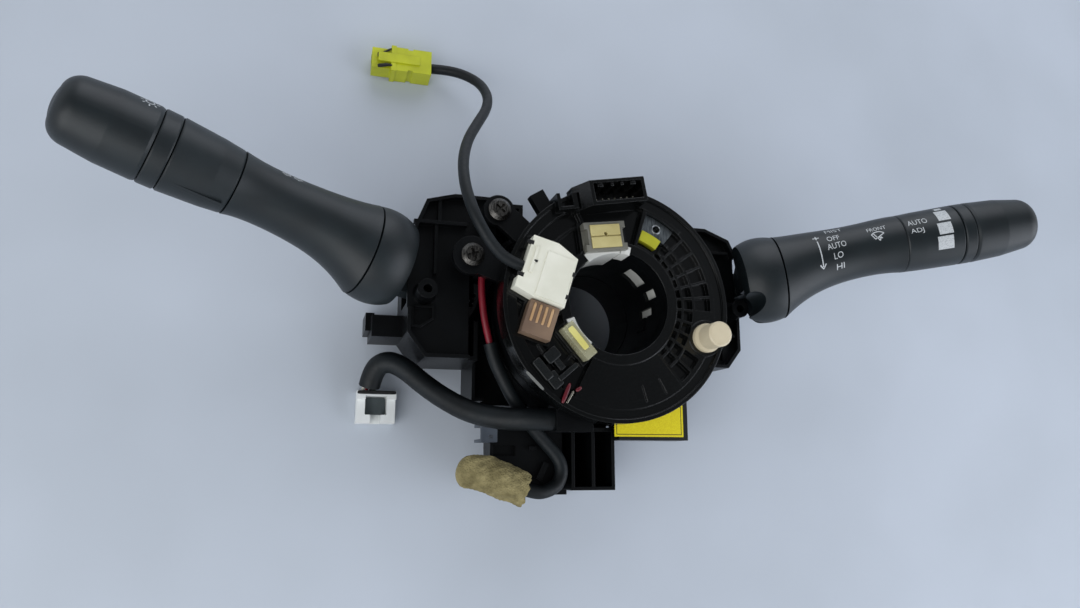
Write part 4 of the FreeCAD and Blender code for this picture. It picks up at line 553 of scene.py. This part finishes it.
# Interval bars that grow round the ring: near and far end from the collar, first and last angle.
RING_RADIUS = 14.5
BARS = [(79.6, 82.8, -63.0, -54.5), (78.0, 83.8, -50.0, -23.5), (76.4, 83.0, -18.5, 4.0),
        (75.2, 82.6, 7.5, 33.0)]
for index, (near, far, first, last) in enumerate(BARS):
    tall = np.radians(last - first) * RING_RADIUS
    half_wide = (far - near) / 2
    xs = np.linspace(-half_wide, half_wide, 8)
    flat, faces = patch(np.stack([xs, 0 * xs - tall / 2], 1), np.stack([xs, 0 * xs + tall / 2], 1), 14)
    printed(f"print_bar_{index}", flat, faces, RIGHT, (near + far) / 2, (first + last) / 2, "right_ring",
            "right_ring", ink)

# Lamp symbol on the left knob: a ring with eight rays, and a pair of turn arrows on the shell.
circle = np.radians(np.linspace(0, 360, 25))
rays = [[(2.3 * np.cos(a), 2.3 * np.sin(a)), (3.4 * np.cos(a), 3.4 * np.sin(a))]
        for a in np.radians(np.arange(0, 360, 45))]
flat, faces = strokes([np.stack([1.5 * np.cos(circle), 1.5 * np.sin(circle)], 1).tolist()] + rays, 0.5)
printed("print_lamp", flat, faces, LEFT, 95.5, -56.0, "left_knob", "left_knob", ink)
flat, faces = strokes([[(-4.2, 0), (-2.4, 1.5), (-2.4, 0.7), (-0.9, 0.7), (-0.9, -0.7), (-2.4, -0.7),
                        (-2.4, -1.5), (-4.2, 0)],
                       [(4.2, 0), (2.4, 1.5), (2.4, 0.7), (0.9, 0.7), (0.9, -0.7), (2.4, -0.7),
                        (2.4, -1.5), (4.2, 0)]], 0.4)
printed("print_turn", flat, faces, LEFT, 39.5, -57.0, "left_lever_shell", "left_lever", ink)


# Leads: fixed lengths of stranded wire in extruded PVC, crimped at their plugs and laid as they left them.
# The soft sleeve is almost black, with a low sheen and slight stretch lines.
sleeve = moulded("black PVC sleeve", "#0b0f11", "#13191c", 0.5, 1.6, 0.03, **{"Specular IOR Level": 0.3})
red_pvc = moulded("red PVC insulation", "#6e0f1d", "#861728", 0.4, 1.2, 0.01)


def lead(name, route, diameter, material, body, node):
    """A lead: a quadratic B-spline that the route's points (mm) pull, with a round section."""
    curve = bpy.data.curves.new(name, "CURVE")
    curve.dimensions = "3D"
    curve.bevel_depth = diameter / 2 * MM
    curve.bevel_resolution = 6
    curve.resolution_u = 10
    curve.use_fill_caps = True
    spline = curve.splines.new("NURBS")
    spline.points.add(len(route) - 1)
    spline.points.foreach_set("co", np.c_[np.array(route) * MM, np.ones(len(route))].ravel())
    spline.order_u = 3
    spline.use_endpoint_u = True
    curve.materials.append(material)
    piece = bpy.data.objects.new(name, curve)
    bpy.context.scene.collection.objects.link(piece)
    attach(piece, body)
    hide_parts(node)
    return piece


# Igniter lead: from the white plug on the rotor over the base, down and round to the yellow connector.
SQUIB = [(-45.31, 12.61, 73.0), (-52.2, 14.78, 73.0), (-59.0, 20.2, 75.2), (-65.2, 28.4, 77.2),
         (-69.3, 38.4, 76.0), (-71.0, 49.8, 71.0), (-70.0, 62.8, 62.5), (-66.2, 76.2, 52.5),
         (-59.6, 89.6, 42.5), (-53.4, 101.6, 33.0), (-50.8, 113.0, 24.3), (-53.6, 123.6, 16.6),
         (-61.8, 130.4, 11.0), (-70.6, 133.0, 7.8), (-78.5, 133.0, 6.8)]
squib = lead("squib_lead_sleeve", SQUIB, 5.0, sleeve, "rotor", "squib_lead")

# Harness sleeve: from the stator's side down to the white plug on the table.
HARNESS = [(-25.0, -50.5, 49.4), (-34.5, -50.5, 49.4), (-46.0, -50.4, 43.8), (-58.5, -47.6, 35.6),
           (-70.0, -41.0, 28.4), (-80.0, -33.4, 23.6), (-87.6, -26.6, 20.8), (-95.0, -22.8, 18.0),
           (-101.4, -26.0, 14.8), (-102.8, -34.2, 11.2)]
harness = lead("harness_sleeve_tube", HARNESS, 10.0, sleeve, "base", "harness_sleeve")

# Earth wire: a short red wire from its anchor block into the horn lead's sleeve.
EARTH = [(-57.0, 13.5, 44.2), (-57.0, 8.0, 44.2), (-56.2, -1.5, 44.4), (-54.4, -10.5, 44.0),
         (-52.6, -16.5, 43.4)]
earth = lead("earth_wire_run", EARTH, 3.2, red_pvc, "base", "earth_wire")

# Horn lead: sleeved, round the stator and over the bracket to the connector inside the foam.
HORN = [(-52.6, -16.5, 43.4), (-50.45, -23.66, 42.68), (-46.0, -32.2, 41.6), (-40.8, -40.8, 39.8),
        (-35.2, -47.8, 37.2), (-29.8, -54.0, 34.9), (-24.6, -59.4, 33.8), (-19.6, -64.4, 33.5),
        (-16.2, -69.2, 33.5), (-15.6, -74.6, 33.7), (-18.0, -79.4, 34.4), (-22.8, -82.0, 35.4),
        (-28.3, -82.94, 36.5), (-33.8, -81.2, 36.5)]
horn = lead("horn_lead_sleeve", HORN, 6.2, sleeve, "base", "horn_lead")

# Painted shade: a dark grey sheet lies on the floor of the white plug's window in place of the shade inside
# it, and a black locking bar lies across its back.
WINDOW_SHADE_AT = (-99.3, -43.1, 3.4)
LOCK_BAR_AT = (-99.3, -37.3, 12.9)
painted_window_shade = moulded("painted window shade grey", "#3c4446", "#4d5658", 0.6, 0.6, 0.01)
pebble("plug_window_shade", WINDOW_SHADE_AT, (4.8, 4.1, 0.5), 0.0, 0.2, "base", painted_window_shade)
pebble("plug_lock_bar", LOCK_BAR_AT, (8.9, 0.85, 0.6), 0.0, 0.3, "base", notch_shade_and_clip_black)

# Black spring clips hold the yellow connector's two sides, with one leg standing off.
CLIPS = [((-103.4, 134.0, 12.7), (2.6, 1.2, 0.6), 3.0), ((-101.2, 136.6, 12.7), (2.6, 0.45, 0.5), 32.0),
         ((-103.0, 128.4, 12.7), (2.8, 0.8, 0.6), 14.0), ((-100.4, 129.0, 12.7), (2.0, 0.5, 0.5), -6.0)]
for index, (centre, half, axis) in enumerate(CLIPS):
    pebble(f"connector_clip_{index}", centre, half, axis, 0.35, "rotor", notch_shade_and_clip_black)

# Bare ends of the harness wires at the plug: five thin insulations side by side.
wires, tree, out, place = blank("coloured PVC insulation")
axes = add(tree, "ShaderNodeSeparateXYZ", {"Vector": place})
low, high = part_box("harness_wires")
share = add(tree, "ShaderNodeMapRange", {"Value": axes.outputs["X"], "From Min": low[0], "From Max": high[0]})
ramp = add(tree, "ShaderNodeValToRGB", {"Fac": share.outputs["Result"]})
ramp.color_ramp.interpolation = "CONSTANT"
ramp.color_ramp.elements[0].color = linear("#c8c4b8")
ramp.color_ramp.elements[1].position = 0.25
ramp.color_ramp.elements[1].color = linear("#a5141f")
for position, colour in ((0.5, "#15161a"), (0.75, "#5d7a38")):
    ramp.color_ramp.elements.new(position).color = linear(colour)
surface = add(tree, "ShaderNodeBsdfPrincipled", {"Base Color": ramp.outputs["Color"], "Roughness": 0.35})
tree.links.new(surface.outputs["BSDF"], out.inputs["Surface"])
dress(wires, "harness_wires")


# Foam wrap: a strip of open-cell polyurethane foam rolled round the horn connector against rattle.
# It is soft beige with torn cells, so it has no gloss at all.
CELL = 0.9 * MM
STAIN = 5 * MM
foam, tree, out, place = blank("beige polyurethane foam")
cells = add(tree, "ShaderNodeTexVoronoi", {"Vector": place, "Scale": 1 / CELL})
cloud = add(tree, "ShaderNodeTexNoise", {"Vector": place, "Scale": 1 / STAIN, "Detail": 4.0})
bump = add(tree, "ShaderNodeBump", {"Height": cells.outputs["Distance"], "Distance": 0.5 * MM})
surface = add(tree, "ShaderNodeBsdfPrincipled",
              {"Base Color": two_tones(tree, cloud.outputs["Fac"], "#6f6541", "#9a8e63"), "Roughness": 0.95,
               "Normal": bump.outputs["Normal"]})
tree.links.new(surface.outputs["BSDF"], out.inputs["Surface"])

FOAM_END = (-33.8, -81.2, 36.5)
FOAM_AWAY = (-0.953, 0.302, 0.0)
FOAM_LONG = 33.0
FOAM_HALF = (7.9, 6.2)
FOAM_STEPS = (90, 96)


def foam_roll(name):
    """Roll: end + away s + across a r(s) cos t (1 + lumps) + up b r(s) sin t (1 + lumps).

    r(s) rounds the far end, sines of t and s make the lumps, and the near end turns in round the connector.
    """
    s, t = np.meshgrid(np.linspace(0, 1, FOAM_STEPS[0]),
                       np.linspace(0, 2 * np.pi, FOAM_STEPS[1], endpoint=False), indexing="ij")
    taper = np.sqrt(np.clip(1 - np.clip((s - 0.78) / 0.22, 0, 1) ** 2.4, 0, 1))
    taper = taper * (0.93 + 0.09 * np.sin(np.pi * np.clip(s * 1.15, 0, 1)))
    lumps = (0.035 * np.sin(5 * t + 9 * s) + 0.03 * np.sin(3 * t - 14 * s + 1.0)
             + 0.02 * np.sin(9 * t + 31 * s) + 0.012 * np.sin(23 * t - 47 * s)
             + 0.010 * np.sin(31 * t + 83 * s))
    reach = taper * (1 + lumps)
    torn = 0.012 * np.sin(7 * t) + 0.01 * np.sin(13 * t + 1)
    along = FOAM_LONG * (s + torn * (1 - s) ** 6)
    away = np.array(FOAM_AWAY) / np.linalg.norm(FOAM_AWAY)
    across = np.cross((0, 0, 1), away)
    bow = 1.2 * np.sin(np.pi * s) - 0.4
    points = (np.array(FOAM_END) + along[..., None] * away
              + (FOAM_HALF[0] * reach * np.cos(t) - bow)[..., None] * across
              + (FOAM_HALF[1] * reach * np.sin(t))[..., None] * np.array((0, 0, 1.0)))
    rim = points[0]
    mouth = np.array(FOAM_END) + (rim - np.array(FOAM_END)) * 0.5
    throat = mouth + away * 2.0
    tip = points[-1].mean(0)
    rings = np.concatenate([throat[None], mouth[None], points[:-1]])
    index = np.arange(rings.shape[0] * rings.shape[1]).reshape(rings.shape[:2])
    ahead = np.roll(index, -1, axis=1)
    faces = np.stack([index[:-1], ahead[:-1], ahead[1:], index[1:]], -1).reshape(-1, 4)
    inner, outer = index.size, index.size + 1
    caps = np.concatenate([np.stack([index[-1], ahead[-1], np.full(FOAM_STEPS[1], outer)], -1),
                           np.stack([ahead[0], index[0], np.full(FOAM_STEPS[1], inner)], -1)])
    verts = np.concatenate([rings.reshape(-1, 3), [throat.mean(0)], [tip]])
    return skin(name, verts, faces.tolist() + caps.tolist(), foam)


roll = foam_roll("foam_roll")
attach(roll, "base")
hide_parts("foam_wrap")


# Table: a pale blue-grey painted top, lit softly by three large windows that stand low round it, under a
# darker ceiling, so flat black faces stay black and the stalks' rounded sides catch long soft lights.
def stage_grid(name, half_mm, height_mm, steps=2):
    """A flat square of steps by steps faces at one height, centred under the object."""
    side = np.linspace(-half_mm, half_mm, steps + 1) * MM
    x, y = np.meshgrid(side, side)
    points = np.stack([x, y, np.full_like(x, height_mm * MM)], -1).reshape(-1, 3)
    index = np.arange((steps + 1) ** 2).reshape(steps + 1, steps + 1)
    faces = np.stack([index[:-1, :-1], index[:-1, 1:], index[1:, 1:], index[1:, :-1]], -1).reshape(-1, 4)
    mesh = bpy.data.meshes.new(name)
    mesh.from_pydata(points.tolist(), [], faces.tolist())
    piece = bpy.data.objects.new(name, mesh)
    bpy.context.scene.collection.objects.link(piece)
    return piece


TABLE_HALF = 2500
table = stage_grid("table_top", TABLE_HALF, cad_box[0][2] / MM)
table.data.materials.append(moulded("pale table paint", "#bcc3cc", "#c5ccd6", 0.55, 3.0, 0.005, 160.0))

# The room: a pale sky that fades towards the ceiling.
world = bpy.data.worlds.new("room")
bpy.context.scene.world = world
world.use_nodes = True
sky = world.node_tree
height = add(sky, "ShaderNodeSeparateXYZ", {"Vector": add(sky, "ShaderNodeTexCoord").outputs["Generated"]})
dim = add(sky, "ShaderNodeMapRange", {"Value": height.outputs["Z"], "From Min": 0.15, "From Max": 0.95,
                                      "To Min": 0.95, "To Max": 0.12})
sky.nodes["Background"].inputs["Color"].default_value = linear("#e6ecf4")
sky.links.new(dim.outputs["Result"], sky.nodes["Background"].inputs["Strength"])


def lamp(name, place, aim, size, power, colour):
    """A square soft light that faces aim."""
    light = bpy.data.lights.new(name, "AREA")
    light.size = size
    light.energy = power
    light.color = linear(colour)[:3]
    piece = bpy.data.objects.new(name, light)
    bpy.context.scene.collection.objects.link(piece)
    back = np.array(place, float) - np.array(aim, float)
    back /= np.linalg.norm(back)
    right = np.cross((0, 1, 0), back)
    right /= np.linalg.norm(right)
    turn = np.stack([right, np.cross(back, right), back], 1)
    piece.matrix_world = Matrix([[*turn[k], place[k]] for k in range(3)] + [[0, 0, 0, 1]])


HEART = (0.0, 0.0, 0.03)
lamp("window_right", (0.95, -0.4, 0.55), HEART, 1.0, 7.0, "#eef4ff")
lamp("window_left", (-0.6, -0.5, 0.7), HEART, 0.9, 5.5, "#fbfdff")
lamp("window_back", (0.1, 0.95, 0.6), HEART, 0.9, 4.0, "#f2f6ff")

# Camera: a wide phone lens held over the rotor, tilted a little to the left and below it.
camera = bpy.data.cameras.new("camera")
camera.lens = 26.0
camera.sensor_width = 36.0
camera.clip_start = 0.01
holder = bpy.data.objects.new("camera", camera)
bpy.context.scene.collection.objects.link(holder)
right, up, back = (0.96, 0.0, 0.28), (-0.0554, 0.9802, 0.19), (-0.2745, -0.1979, 0.941)
place = (-0.1285, -0.06889, 0.38458)
holder.matrix_world = Matrix([[right[k], up[k], back[k], place[k]] for k in range(3)] + [[0, 0, 0, 1]])
bpy.context.scene.camera = holder
bpy.context.scene.view_settings.view_transform = "Standard"
